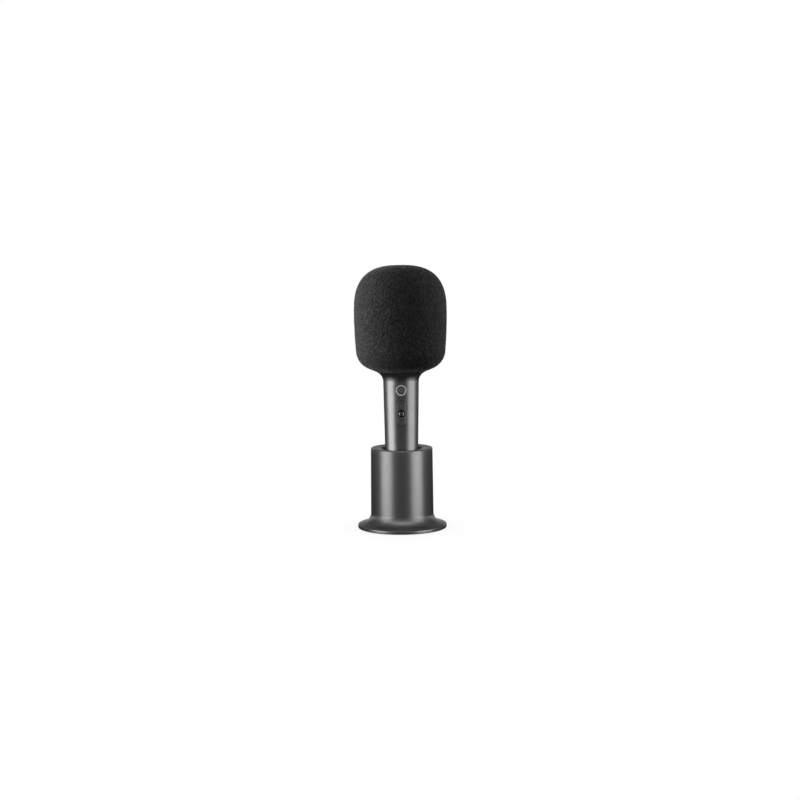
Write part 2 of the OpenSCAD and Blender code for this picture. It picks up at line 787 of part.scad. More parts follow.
module foam_windscreen() {
    outside = head_outline(0);
    inside = head_outline(foam_t);
    color([0.06, 0.06, 0.06])
        rotate_extrude() polygon(concat(
            [[outside[0][0] + 0.1, outside[0][1] + 0.12]],
            [for (i = [1:len(outside) - 1]) outside[i]],
            reversed(inside)
        ));
}

stand_shell();
well_sleeve();
well_pad();
ballast_ring();
base_plate();
stand_screws();
foot_pad();
handle_shell();
end_cap();
end_cap_screws();
usb_socket();
charge_board();
battery_cell();
battery_tabs();
battery_leads();
inner_chassis();
board_screws();
main_board();
board_chips();
key_switches();
key_carrier();
power_light_ring();
power_key();
volume_rocker();
mode_key();
head_base();
neck_gasket();
head_screws();
speaker_baffle();
speaker_frame();
speaker_screws();
speaker_yoke();
speaker_magnet();
speaker_top_plate();
voice_coil();
speaker_cone();
speaker_surround();
speaker_spider();
head_grille();
capsule_bracket();
capsule_mount();
capsule();
capsule_foam();
capsule_wire();
speaker_wire();
foam_windscreen();
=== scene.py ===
import json
import math

import bmesh
import bpy
import numpy as np
from mathutils import Matrix, Vector
from mathutils.geometry import delaunay_2d_cdt


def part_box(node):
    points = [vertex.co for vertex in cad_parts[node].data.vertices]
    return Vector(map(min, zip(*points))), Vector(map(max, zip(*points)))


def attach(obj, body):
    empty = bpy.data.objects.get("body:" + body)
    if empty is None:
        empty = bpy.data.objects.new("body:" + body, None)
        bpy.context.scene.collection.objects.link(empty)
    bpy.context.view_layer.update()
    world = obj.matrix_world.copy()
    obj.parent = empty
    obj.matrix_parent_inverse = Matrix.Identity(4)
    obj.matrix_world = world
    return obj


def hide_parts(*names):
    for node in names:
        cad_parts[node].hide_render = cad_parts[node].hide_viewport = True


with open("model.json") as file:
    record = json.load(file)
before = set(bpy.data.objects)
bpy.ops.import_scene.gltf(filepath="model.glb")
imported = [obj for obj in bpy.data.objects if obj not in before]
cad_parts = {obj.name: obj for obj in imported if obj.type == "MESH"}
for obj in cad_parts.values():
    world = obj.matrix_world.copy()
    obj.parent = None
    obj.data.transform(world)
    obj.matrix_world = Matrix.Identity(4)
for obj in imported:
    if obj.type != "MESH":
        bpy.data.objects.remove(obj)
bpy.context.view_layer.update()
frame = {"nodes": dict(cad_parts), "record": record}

MM = 0.001
TURN = 2 * math.pi


# ---------------------------------------------------------------- sizes, in millimetres

# the head: a superellipse above its widest height, then a long arc, a round corner and a sloping underside
HEAD_R, HEAD_TOP, HEAD_WIDE, HEAD_POWER = 44.0, 250.0, 205.0, 2.7
SIDE_R, SIDE_TURN, CORNER_R = 430.0, math.radians(4.9), 19.0
SLOPE, SLOPE_LENGTH = math.radians(23.0), 8.4
FOAM_T = 5.0

# the handle: a tapered tube that flares out to meet the foot of that slope
FLARE_R, TAPER, HANDLE_WALL = 10.3, math.tan(math.radians(1.03)), 1.5

SIDE_CENTRE = np.array([HEAD_R - SIDE_R, HEAD_WIDE])
CORNER_CENTRE = SIDE_CENTRE + (SIDE_R - CORNER_R) * np.array([math.cos(SIDE_TURN), -math.sin(SIDE_TURN)])
CORNER_END = math.pi / 2 - SLOPE
SLOPE_TOP = CORNER_CENTRE + CORNER_R * np.array([math.cos(CORNER_END), -math.sin(CORNER_END)])
SLOPE_OUT = np.array([math.sin(SLOPE), -math.cos(SLOPE)])
SLOPE_FOOT = SLOPE_TOP - SLOPE_LENGTH * np.array([math.cos(SLOPE), math.sin(SLOPE)])
FLARE_CENTRE = SLOPE_FOOT + FLARE_R * SLOPE_OUT
NECK_R, NECK_Z = FLARE_CENTRE[0] - FLARE_R, FLARE_CENTRE[1]

TUBE_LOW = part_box("handle_shell")[0].z / MM

# the keys, seen from the front
POWER_Z = (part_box("power_key")[0].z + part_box("power_key")[1].z) / 2 / MM
ROCKER_Z = (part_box("volume_rocker")[0].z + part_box("volume_rocker")[1].z) / 2 / MM
POWER_R, RING_R, RING_BORE, RING_HOLE = 3.9, 5.05, 4.05, 5.1
ROCKER_W, ROCKER_L, ROCKER_BORE, SLOT_GAP = 9.4, 24.4, 3.4, 0.3
MODE_R, MODE_CROWN_R = 2.9, 3.6
SIGN_Z = 8.0  # the rocker's signs and stems, above and below its middle

# the keys' depths: their faces follow the handle, their stems reach back to the switches
KEY_BACK_Y, MODE_BACK_Y, RING_BACK_Y, STEM_END_Y = -12.9, -12.6, -13.3, -10.75
PIVOT_Y, PIVOT_R, PIVOT_FROM, PIVOT_TO = -12.3, 0.5, 4.5, 6.5
LUG_X, LUG_SIZE, LUG_ROUND = 4.1, (0.9, 1.2, 1.8), 0.08

# the stand's shell and its rubber pad
RIM_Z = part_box("stand_shell")[1].z / MM
FOOT_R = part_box("stand_shell")[1].x / MM
FOOT_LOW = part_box("stand_shell")[0].z / MM
CUP_LOW_R, CUP_RIM_R, RIM_ROUND, STAND_WALL = 29.9, 29.4, 1.3, 2.2
FILLET_R, FOOT_SLOPE, FOOT_EDGE_Z = 9.5, 18.0, 3.6
MOUTH_R, FUNNEL_DROP, FUNNEL_ROUND = 17.2, 0.6, 4.8
PLATE_RECESS_R, PLATE_RECESS_Z = 39.8, 2.6
PAD_R, PAD_T, GROOVE_RADII, GROOVE_DEPTH = 38, 1.2, (34.0, 30.0, 26.0, 22.0), 0.25


def handle_radius(z):
    """The tapered tube's outside radius at height z."""
    return NECK_R - (NECK_Z - z) * TAPER


def arc(centre, r, a0, a1, n):
    """n + 1 points of a circular arc; angles in degrees."""
    return [(centre[0] + r * math.cos(math.radians(a)), centre[1] + r * math.sin(math.radians(a)))
            for a in np.linspace(a0, a1, n + 1)]


def head_outline(t, corner=24, side=30, top=80):
    """The head's outline inset by t, from the foot of the underside's slope to the axis at the top."""
    foot = SLOPE_FOOT - t * SLOPE_OUT
    points = [tuple(foot)]
    points += arc(CORNER_CENTRE, CORNER_R - t, -math.degrees(CORNER_END), -math.degrees(SIDE_TURN), corner)
    points += arc(SIDE_CENTRE, SIDE_R - t, -math.degrees(SIDE_TURN), 0, side)[1:]
    for a in np.linspace(0, math.pi / 2, top + 1)[1:]:
        c = max(math.cos(a), 0.0)
        points.append(((HEAD_R - t) * c ** (2 / HEAD_POWER),
                       HEAD_WIDE + (HEAD_TOP - HEAD_WIDE - t) * math.sin(a) ** (2 / HEAD_POWER)))
    points[-1] = (0.0, HEAD_TOP - t)
    return points


# ---------------------------------------------------------------- mesh making

def new_piece(name, verts, faces, sharp=35.0):
    """A smooth-shaded mesh piece from points in millimetres, with edges over the angle kept crisp."""
    mesh = bpy.data.meshes.new(name)
    mesh.from_pydata([tuple(c * MM for c in v) for v in verts], [], faces)
    bm = bmesh.new()
    bm.from_mesh(mesh)
    bmesh.ops.remove_doubles(bm, verts=bm.verts, dist=1e-7)
    bmesh.ops.recalc_face_normals(bm, faces=bm.faces)
    shade(bm, sharp)
    bm.to_mesh(mesh)
    bm.free()
    piece = bpy.data.objects.new(name, mesh)
    bpy.context.scene.collection.objects.link(piece)
    return piece


def shade(bm, sharp):
    """Smooth shading, with edges over the angle sharp kept crisp."""
    for f in bm.faces:
        f.smooth = True
    limit = math.radians(sharp)
    for e in bm.edges:
        e.smooth = len(e.link_faces) == 2 and e.calc_face_angle(0.0) < limit


def turned(profile, steps):
    """Points and faces of a profile of (r, z) turned about the Z axis. Profile ends at r = 0 become poles."""
    verts, rings = [], []
    for r, z in profile:
        if r < 1e-6:
            rings.append([len(verts)] * steps)
            verts.append((0, 0, z))
            continue
        rings.append(list(range(len(verts), len(verts) + steps)))
        for j in range(steps):
            angle = TURN * j / steps
            verts.append((r * math.cos(angle), r * math.sin(angle), z))
    faces = []
    for a, b in zip(rings, rings[1:]):
        for j in range(steps):
            k = (j + 1) % steps
            face = list(dict.fromkeys([a[j], a[k], b[k], b[j]]))
            if len(face) >= 3:
                faces.append(face)
    return verts, faces


def rounded(profile, radii, steps=5):
    """The profile with the corners named in radii, {index: radius}, replaced by arcs."""
    points = []
    count = len(profile)
    for i, p in enumerate(profile):
        if i not in radii:
            points.append(p)
            continue
        p0, p1, p2 = (np.array(profile[k % count], float) for k in (i - 1, i, i + 1))
        a, b = (p0 - p1) / np.linalg.norm(p0 - p1), (p2 - p1) / np.linalg.norm(p2 - p1)
        half = math.acos(np.clip(a @ b, -1, 1)) / 2
        reach = radii[i] / math.tan(half)
        centre = p1 + (a + b) / np.linalg.norm(a + b) * radii[i] / math.sin(half)
        start, end = p1 + a * reach - centre, p1 + b * reach - centre
        angle0 = math.atan2(start[1], start[0])
        sweep = (math.atan2(end[1], end[0]) - angle0 + math.pi) % TURN - math.pi
        for s in range(steps + 1):
            t = angle0 + sweep * s / steps
            points.append((centre[0] + radii[i] * math.cos(t), centre[1] + radii[i] * math.sin(t)))
    return points


# ---- flat regions seen along Y, which become keys and the wall round them

EDGE_STEPS = (0.0, 0.03, 0.08, 0.15, 0.25, 0.4, 0.7)


def circle_loop(r, z, steps=72):
    """A circle about height z, as a function that gives its points for an inset."""
    def loop(inset):
        angles = [TURN * k / steps for k in range(steps)]
        return [((r - inset) * math.cos(a), z + (r - inset) * math.sin(a)) for a in angles]
    return loop


def pill_loop(w, l, z, arc_steps=30, side_steps=14):
    """An upright pill about height z, as a function that gives its points for an inset."""
    half = (l - w) / 2

    def loop(inset):
        r = w / 2 - inset
        upper, lower = (np.linspace(start, start + math.pi, arc_steps + 1) for start in (0, math.pi))
        points = [(r * math.cos(a), z + half + r * math.sin(a)) for a in upper]
        points += [(-r, z + half - 2 * half * k / side_steps) for k in range(1, side_steps)]
        points += [(r * math.cos(a), z - half + r * math.sin(a)) for a in lower]
        points += [(r, z - half + 2 * half * k / side_steps) for k in range(1, side_steps)]
        return points
    return loop


def circle_distance(r, z):
    """Distance inside a circle, negative outside it."""
    return lambda x, h: r - math.hypot(x, h - z)


def pill_distance(w, l, z):
    """Distance inside an upright pill, negative outside it."""
    half = (l - w) / 2
    return lambda x, h: w / 2 - math.hypot(x, h - z - max(-half, min(half, h - z)))


def triangulated(loops, inside, spacing, box):
    """Triangles of a flat region. loops are closed rows of points that stay as edges."""
    points, edges = [], []
    for loop in loops:
        start = len(points)
        points += [Vector(p) for p in loop]
        edges += [(start + k, start + (k + 1) % len(loop)) for k in range(len(loop))]
    clear = EDGE_STEPS[-1] + spacing * 0.55
    nx, nz = (max(2, round((box[1][i] - box[0][i]) / spacing)) for i in (0, 1))
    for i in range(1, nx):
        for k in range(1, nz):
            p = (box[0][0] + (box[1][0] - box[0][0]) * i / nx, box[0][1] + (box[1][1] - box[0][1]) * k / nz)
            if inside(*p) > clear:
                points.append(Vector(p))
    out = delaunay_2d_cdt(points, edges, [], 0, 1e-5)
    verts = [tuple(v) for v in out[0]]
    faces = [f for f in out[2] if inside(*(sum(verts[i][c] for i in f) / len(f) for c in (0, 1))) > 0]
    return verts, faces


def edge_drop(d, r):
    """How far a surface has fallen at distance d from an edge rounded to radius r."""
    return 0.0 if d >= r else r - math.sqrt(max(0.0, r * r - (r - max(d, 0.0)) ** 2))


def open_sides(faces):
    """The directed edges of a flat patch that have no face on their other side."""
    edges = dict.fromkeys((a, b) for f in faces for a, b in zip(f, [*f[1:], f[0]]))
    return [(a, b) for a, b in edges if (b, a) not in edges]


def plate(name, loops, distances, front, back, spacing, edge, box):
    """A closed piece seen along Y. Its outline is loops[0] less the holes in loops[1:].

    front and back give the depth of its two faces over the XZ plane.
    """
    def inside(x, z):
        return min(distance(x, z) for distance in distances)

    rows = [loop(step if n == 0 else -step) for n, loop in enumerate(loops) for step in EDGE_STEPS]
    flat, faces = triangulated(rows, inside, spacing, box)
    count = len(flat)
    verts = [(x, front(x, z) + edge_drop(inside(x, z), edge), z) for x, z in flat]
    verts += [(x, back(x, z), z) for x, z in flat]
    solid = [list(f) for f in faces] + [[i + count for i in reversed(f)] for f in faces]
    solid += [[b, a, a + count, b + count] for a, b in open_sides(faces)]
    return new_piece(name, verts, solid, 50)


def joined(name, *pieces):
    """One piece from several."""
    bm = bmesh.new()
    for p in pieces:
        bm.from_mesh(p.data)
        bpy.data.objects.remove(p)
    mesh = bpy.data.meshes.new(name)
    bm.to_mesh(mesh)
    bm.free()
    piece = bpy.data.objects.new(name, mesh)
    bpy.context.scene.collection.objects.link(piece)
    return piece


def bar_y(z, r, y0, y1):
    """A round bar along Y at height z with its ends' edges rounded."""
    verts, faces = turned(rounded([(0, y0), (r, y0), (r, y1), (0, y1)], {1: 0.1, 2: 0.1}, 3), 48)
    return new_piece("bar", [(v[0], v[2], z + v[1]) for v in verts], faces)


def finished(piece, body, nodes, material):
    """Gives a piece its material, unless it was grown with one, and its body, and hides the CAD nodes that it
    stands in for.
    """
    if material is not None:
        piece.data.materials.clear()
        piece.data.materials.append(material)
    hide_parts(*nodes)
    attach(piece, body)
    return piece


# ---------------------------------------------------------------- materials

GUNMETAL, SATIN = (0.2, 0.2, 0.202), 0.36
KEY_COAT = tuple(c * 0.8 for c in GUNMETAL)


class Nodes:
    """A node tree under construction."""

    def node(self, kind, inputs=None, **settings):
        n = self.tree.nodes.new(kind)
        for key, value in settings.items():
            setattr(n, key, value)
        for key, value in (inputs or {}).items():
            if isinstance(value, bpy.types.NodeSocket):
                self.tree.links.new(value, n.inputs[key])
            else:
                n.inputs[key].default_value = value
        return n

    def math(self, operation, *values):
        return self.node("ShaderNodeMath", dict(enumerate(values)), operation=operation).outputs[0]

    def vector(self, x=0.0, y=0.0, z=0.0):
        return self.node("ShaderNodeCombineXYZ", {"X": x, "Y": y, "Z": z}).outputs[0]


class Finish(Nodes):
    """A procedural material on Object coordinates, in millimetres."""

    def __init__(self, name, colour, roughness=0.5, metallic=0.0, **sockets):
        self.material = bpy.data.materials.new(name)
        self.material.use_nodes = True
        self.tree = self.material.node_tree
        self.shader = self.tree.nodes["Principled BSDF"]
        self.shader.inputs["Base Color"].default_value = (*colour, 1)
        self.shader.inputs["Roughness"].default_value = roughness
        self.shader.inputs["Metallic"].default_value = metallic
        for key, value in sockets.items():
            self.shader.inputs[key.replace("_", " ")].default_value = value
        place = self.tree.nodes.new("ShaderNodeTexCoord")
        scale = self.tree.nodes.new("ShaderNodeMapping")
        scale.inputs["Scale"].default_value = (1000, 1000, 1000)
        self.tree.links.new(place.outputs["Object"], scale.inputs["Vector"])
        self.place = scale.outputs["Vector"]
        self.bump = None

    def noise(self, size, detail=2.0, roughness=0.5, place=None):
        inputs = {"Vector": place or self.place, "Scale": 1 / size, "Detail": detail, "Roughness": roughness}
        return self.node("ShaderNodeTexNoise", inputs).outputs["Fac"]

    def cells(self, size, place=None):
        inputs = {"Vector": place or self.place, "Scale": 1 / size}
        return self.node("ShaderNodeTexVoronoi", inputs).outputs["Distance"]

    def spread(self, value, low, high, to_low=0.0, to_high=1.0):
        """A smooth step from to_low, where the value is low, to to_high, where it is high."""
        inputs = {"Value": value, "From Min": low, "From Max": high, "To Min": to_low, "To Max": to_high}
        return self.node("ShaderNodeMapRange", inputs, interpolation_type="SMOOTHSTEP").outputs["Result"]

    def axes(self):
        split = self.node("ShaderNodeSeparateXYZ", {"Vector": self.place})
        return split.outputs["X"], split.outputs["Y"], split.outputs["Z"]

    def length(self, a, b):
        """The length of a flat vector (a, b)."""
        squares = self.math("ADD", self.math("MULTIPLY", a, a), self.math("MULTIPLY", b, b))
        return self.math("SQRT", squares)

    def ripple(self, value, rate):
        """A sine of the value, rate radians for each millimetre."""
        return self.math("SINE", self.math("MULTIPLY", value, rate))

    def blend(self, factor, a, b):
        n = self.node("ShaderNodeMix", data_type="RGBA")
        for socket, value in ((n.inputs[0], factor), (n.inputs[6], a), (n.inputs[7], b)):
            if isinstance(value, bpy.types.NodeSocket):
                self.tree.links.new(value, socket)
            else:
                socket.default_value = (*value, 1) if isinstance(value, tuple) else value
        return n.outputs[2]

    def colour(self, socket):
        self.tree.links.new(socket, self.shader.inputs["Base Color"])

    def roughness(self, socket):
        self.tree.links.new(socket, self.shader.inputs["Roughness"])

    def relief(self, height, depth_mm, strength=1.0):
        """Bump from a height of 0 to 1 that stands for depth_mm."""
        n = self.node("ShaderNodeBump", {"Height": height, "Distance": depth_mm * MM, "Strength": strength})
        if self.bump is not None:
            self.tree.links.new(self.bump, n.inputs["Normal"])
        self.bump = n.outputs["Normal"]
        self.tree.links.new(self.bump, self.shader.inputs["Normal"])


def shaded(base, factor):
    return tuple(c * factor for c in base)


def satin_metal(name, colour, roughness, metallic=1.0):
    """Fine bead-blasted metal under a satin coat."""
    f = Finish(name, colour, roughness, metallic)
    grain = f.noise(0.16, 3.0, 0.6)
    cloud = f.noise(9.0, 2.0, 0.5)
    f.colour(f.blend(f.spread(cloud, 0.3, 0.7), shaded(colour, 0.97), shaded(colour, 1.03)))
    f.roughness(f.math("MULTIPLY_ADD", grain, 0.10, roughness - 0.05))
    f.relief(grain, 0.006, 0.35)
    return f


def stand_paint():
    """The handle's satin metal, with painted shade where the funnel rolls over into the well: its colour
    fades to near black there.
    """
    f = satin_metal("stand_satin", GUNMETAL, SATIN)
    satin = f.shader.inputs["Base Color"].links[0].from_socket
    x, y, _ = f.axes()
    # painted shade: from 20.8 mm in to 18.3 mm from the axis the colour fades to near black, standing in for
    # the shade in the well's mouth round the handle
    f.colour(f.blend(f.spread(f.length(x, y), 18.3, 20.8), (0.02, 0.02, 0.02), satin))
    return f.material


def moulded(name, colour, roughness=0.55, grain_mm=0.25):
    """Spark-eroded plastic."""
    f = Finish(name, colour, roughness)
    grain = f.noise(grain_mm, 2.0, 0.55)
    f.colour(f.blend(f.noise(6.0), shaded(colour, 0.85), shaded(colour, 1.15)))
    f.roughness(f.math("MULTIPLY_ADD", grain, 0.2, roughness - 0.1))
    f.relief(grain, 0.012, 0.6)
    return f


def rubber(name, colour, roughness=0.8):
    f = Finish(name, colour, roughness)
    dust = f.noise(1.4, 4.0, 0.65)
    f.colour(f.blend(f.spread(dust, 0.35, 0.8), shaded(colour, 0.8), shaded(colour, 1.6)))
    f.relief(f.noise(0.4, 2.0), 0.02, 0.5)
    return f


def plain_metal(name, colour, roughness=0.3):
    """Plated or drawn metal with faint lines round it."""
    f = Finish(name, colour, roughness, 1.0)
    stretched = f.node("ShaderNodeMapping", {"Vector": f.place, "Scale": (0.5, 0.5, 6.0)}).outputs["Vector"]
    lines = f.noise(0.8, 2.0, 0.5, stretched)
    f.colour(f.blend(f.noise(3.0), shaded(colour, 0.9), shaded(colour, 1.05)))
    f.roughness(f.math("MULTIPLY_ADD", lines, 0.15, roughness - 0.07))
    f.relief(lines, 0.004, 0.4)
    return f


def foam_finish():
    """Open-cell foam: pores painted dark between fine struts painted lighter, as painted shade in the pores
    and painted light on the struts.
    """
    f = Finish("windscreen_foam", (0.012, 0.012, 0.0125), 0.8, Specular_IOR_Level=0.12, Sheen_Weight=0.25,
               Sheen_Roughness=0.3)
    warp = f.noise(2.2, 2.0)
    shifted = f.node("ShaderNodeVectorMath", {0: f.place, 1: warp}, operation="ADD").outputs[0]
    pores = f.spread(f.cells(1.5, shifted), 0.1, 0.8)
    small = f.spread(f.cells(0.6, shifted), 0.1, 0.6)
    strut = f.math("MULTIPLY_ADD", small, 0.25, f.math("MULTIPLY", pores, 0.75))
    patch = f.spread(f.noise(5.0, 3.0, 0.6), 0.3, 0.7, 0.8, 1.2)
    # painted shade and light: the pores, which the bump sinks, are painted near black and the raised struts
    # lighter
    f.colour(f.blend(f.math("MULTIPLY", strut, patch), (0.001, 0.001, 0.001), (0.05, 0.05, 0.0504)))
    f.relief(strut, 0.25, 0.8)
    return f.material


def mark_finish(name, base, marks, ink, roughness):
    """Satin coat with small printed marks on the XZ plane.

    A mark is ("bar", x, z, half width, half height) or ("arc", x, z, radius, half line), open at its top.
    """
    f = satin_metal(name, base, roughness)
    x, _, z = f.axes()
    soft = 0.05

    def within(value, limit):
        return f.spread(f.math("ABSOLUTE", value), limit - soft, limit + soft, 1, 0)
    printed = []
    for kind, mark_x, mark_z, a, b in marks:
        dx, dz = f.math("SUBTRACT", x, mark_x), f.math("SUBTRACT", z, mark_z)
        if kind == "bar":
            printed.append(f.math("MULTIPLY", within(dx, a), within(dz, b)))
            continue
        line = within(f.math("SUBTRACT", f.length(dx, dz), a), b)
        gap = f.math("MULTIPLY", within(dx, 0.5), f.spread(dz, 0.0, 0.1, 0, 1))
        printed.append(f.math("MULTIPLY", line, f.math("SUBTRACT", 1.0, gap)))
    total = printed[0]
    for mark in printed[1:]:
        total = f.math("MAXIMUM", total, mark)
    coat = f.shader.inputs["Base Color"].links[0].from_socket
    f.colour(f.blend(total, coat, ink))
    f.tree.links.new(f.math("SUBTRACT", 1.0, total), f.shader.inputs["Metallic"])
    return f.material


gunmetal = satin_metal("gunmetal_satin", GUNMETAL, SATIN).material
dark_plastic = moulded("moulded_black", (0.022, 0.022, 0.023)).material
black_rubber = rubber("soft_black_rubber", (0.02, 0.02, 0.02)).material
zinc = plain_metal("zinc_plate", (0.62, 0.62, 0.64)).material
foam = foam_finish()


# ---------------------------------------------------------------- geometry trees

SEAM = 0.002 * MM


class Growth(Nodes):
    """A geometry node tree whose sizes are named inputs."""

    def __init__(self, name):
        self.tree = bpy.data.node_groups.new(name, "GeometryNodeTree")
        for way in ("INPUT", "OUTPUT"):
            self.tree.interface.new_socket("Geometry", in_out=way, socket_type="NodeSocketGeometry")
        self.given = self.node("NodeGroupInput")
        self.result = self.node("NodeGroupOutput")
        self.base = self.given.outputs[0]

    def size(self, name, kind="Float"):
        self.tree.interface.new_socket(name, in_out="INPUT", socket_type="NodeSocket" + kind)
        return self.given.outputs[name]

    def close(self, geometry, material):
        """Ends the tree: instances become real and the piece takes its material."""
        real = self.node("GeometryNodeRealizeInstances", {"Geometry": geometry})
        painted = self.node("GeometryNodeSetMaterial", {"Geometry": real.outputs[0], "Material": material})
        self.tree.links.new(painted.outputs[0], self.result.inputs[0])

    def grow(self, name, base, sharp=35.0, **sizes):
        """A plain mesh piece grown from the base mesh with the given sizes, named with _ for spaces."""
        seed_object = bpy.data.objects.new(name + "_base", base)
        bpy.context.scene.collection.objects.link(seed_object)
        modifier = seed_object.modifiers.new("growth", "NODES")
        modifier.node_group = self.tree
        for item in self.tree.interface.items_tree:
            key = item.name.replace(" ", "_")
            if item.item_type == "SOCKET" and item.in_out == "INPUT" and key in sizes:
                modifier[item.identifier] = sizes[key]
        grown = seed_object.evaluated_get(bpy.context.evaluated_depsgraph_get())
        mesh = bpy.data.meshes.new_from_object(grown)
        seed_object.modifiers.remove(modifier)
        bpy.data.objects.remove(seed_object)
        bm = bmesh.new()
        bm.from_mesh(mesh)
        bmesh.ops.recalc_face_normals(bm, faces=bm.faces)
        shade(bm, sharp)
        bm.to_mesh(mesh)
        bm.free()
        mesh.name = name
        piece = bpy.data.objects.new(name, mesh)
        bpy.context.scene.collection.objects.link(piece)
        return piece


def profile_mesh(profile):
    """The points of a profile of (r, z) in millimetres, as a mesh of points on the XZ plane."""
    mesh = bpy.data.meshes.new("profile")
    mesh.from_pydata([(r * MM, 0, z * MM) for r, z in profile], [], [])
    return mesh


def turned_profile_tree():
    """Turns a row of profile points about the Z axis."""
    g = Growth("turned_profile")
    steps, closed, material = g.size("Steps", "Int"), g.size("Closed", "Int"), g.size("Material", "Material")
    profile = g.node("GeometryNodeAttributeDomainSize", {"Geometry": g.base}, component="MESH")
    count = profile.outputs["Point Count"]
    columns = g.math("ADD", steps, 1)
    grid = g.node("GeometryNodeMeshGrid", {"Vertices X": g.math("ADD", count, closed), "Vertices Y": columns})
    index = g.node("GeometryNodeInputIndex").outputs[0]
    row = g.math("FLOOR", g.math("DIVIDE", g.math("ADD", index, 0.5), columns))
    column = g.math("SUBTRACT", index, g.math("MULTIPLY", row, columns))
    sample = g.node("GeometryNodeSampleIndex", data_type="FLOAT_VECTOR")
    g.tree.links.new(g.base, sample.inputs["Geometry"])
    g.tree.links.new(g.node("GeometryNodeInputPosition").outputs[0], sample.inputs["Value"])
    g.tree.links.new(g.math("MODULO", row, count), sample.inputs["Index"])
    split = g.node("ShaderNodeSeparateXYZ", {"Vector": sample.outputs["Value"]})
    angle = g.math("DIVIDE", g.math("MULTIPLY", column, TURN), steps)
    place = g.vector(g.math("MULTIPLY", split.outputs["X"], g.math("COSINE", angle)),
                     g.math("MULTIPLY", split.outputs["X"], g.math("SINE", angle)), split.outputs["Z"])
    turned_grid = g.node("GeometryNodeSetPosition", {"Geometry": grid.outputs["Mesh"], "Position": place})
    sewn = g.node("GeometryNodeMergeByDistance", {"Geometry": turned_grid.outputs[0], "Distance": SEAM})
    g.close(sewn.outputs[0], material)
    return g


def foam_pores_tree():
    """Sinks pores and shallow lumps into a surface."""
    g = Growth("foam_pores")
    pore_size, pore_depth = g.size("Pore Size"), g.size("Pore Depth")
    lump_size, lump_depth = g.size("Lump Size"), g.size("Lump Depth")
    seed, material = g.size("Seed"), g.size("Material", "Material")
    place = g.node("GeometryNodeInputPosition").outputs[0]
    pores = {"Vector": place, "W": seed, "Scale": g.math("DIVIDE", 1.0, pore_size)}
    cells = g.node("ShaderNodeTexVoronoi", pores, voronoi_dimensions="4D").outputs["Distance"]
    step = {"Value": cells, "From Min": 0.15, "From Max": 0.75, "To Min": 1.0, "To Max": 0.0}
    hollow = g.node("ShaderNodeMapRange", step, interpolation_type="SMOOTHSTEP").outputs["Result"]
    swell = {"Vector": place, "W": seed, "Scale": g.math("DIVIDE", 1.0, lump_size), "Detail": 2.0}
    lumps = g.node("ShaderNodeTexNoise", swell, noise_dimensions="4D").outputs["Fac"]
    depth = g.math("ADD", g.math("MULTIPLY", hollow, pore_depth), g.math("MULTIPLY", lumps, lump_depth))
    outward = g.node("GeometryNodeInputNormal").outputs[0]
    inward = g.node("ShaderNodeVectorMath", {0: outward, "Scale": g.math("MULTIPLY", depth, -1.0)},
                    operation="SCALE")
    moved = g.node("GeometryNodeSetPosition", {"Geometry": g.base, "Offset": inward.outputs[0]})
    g.close(moved.outputs[0], material)
    return g


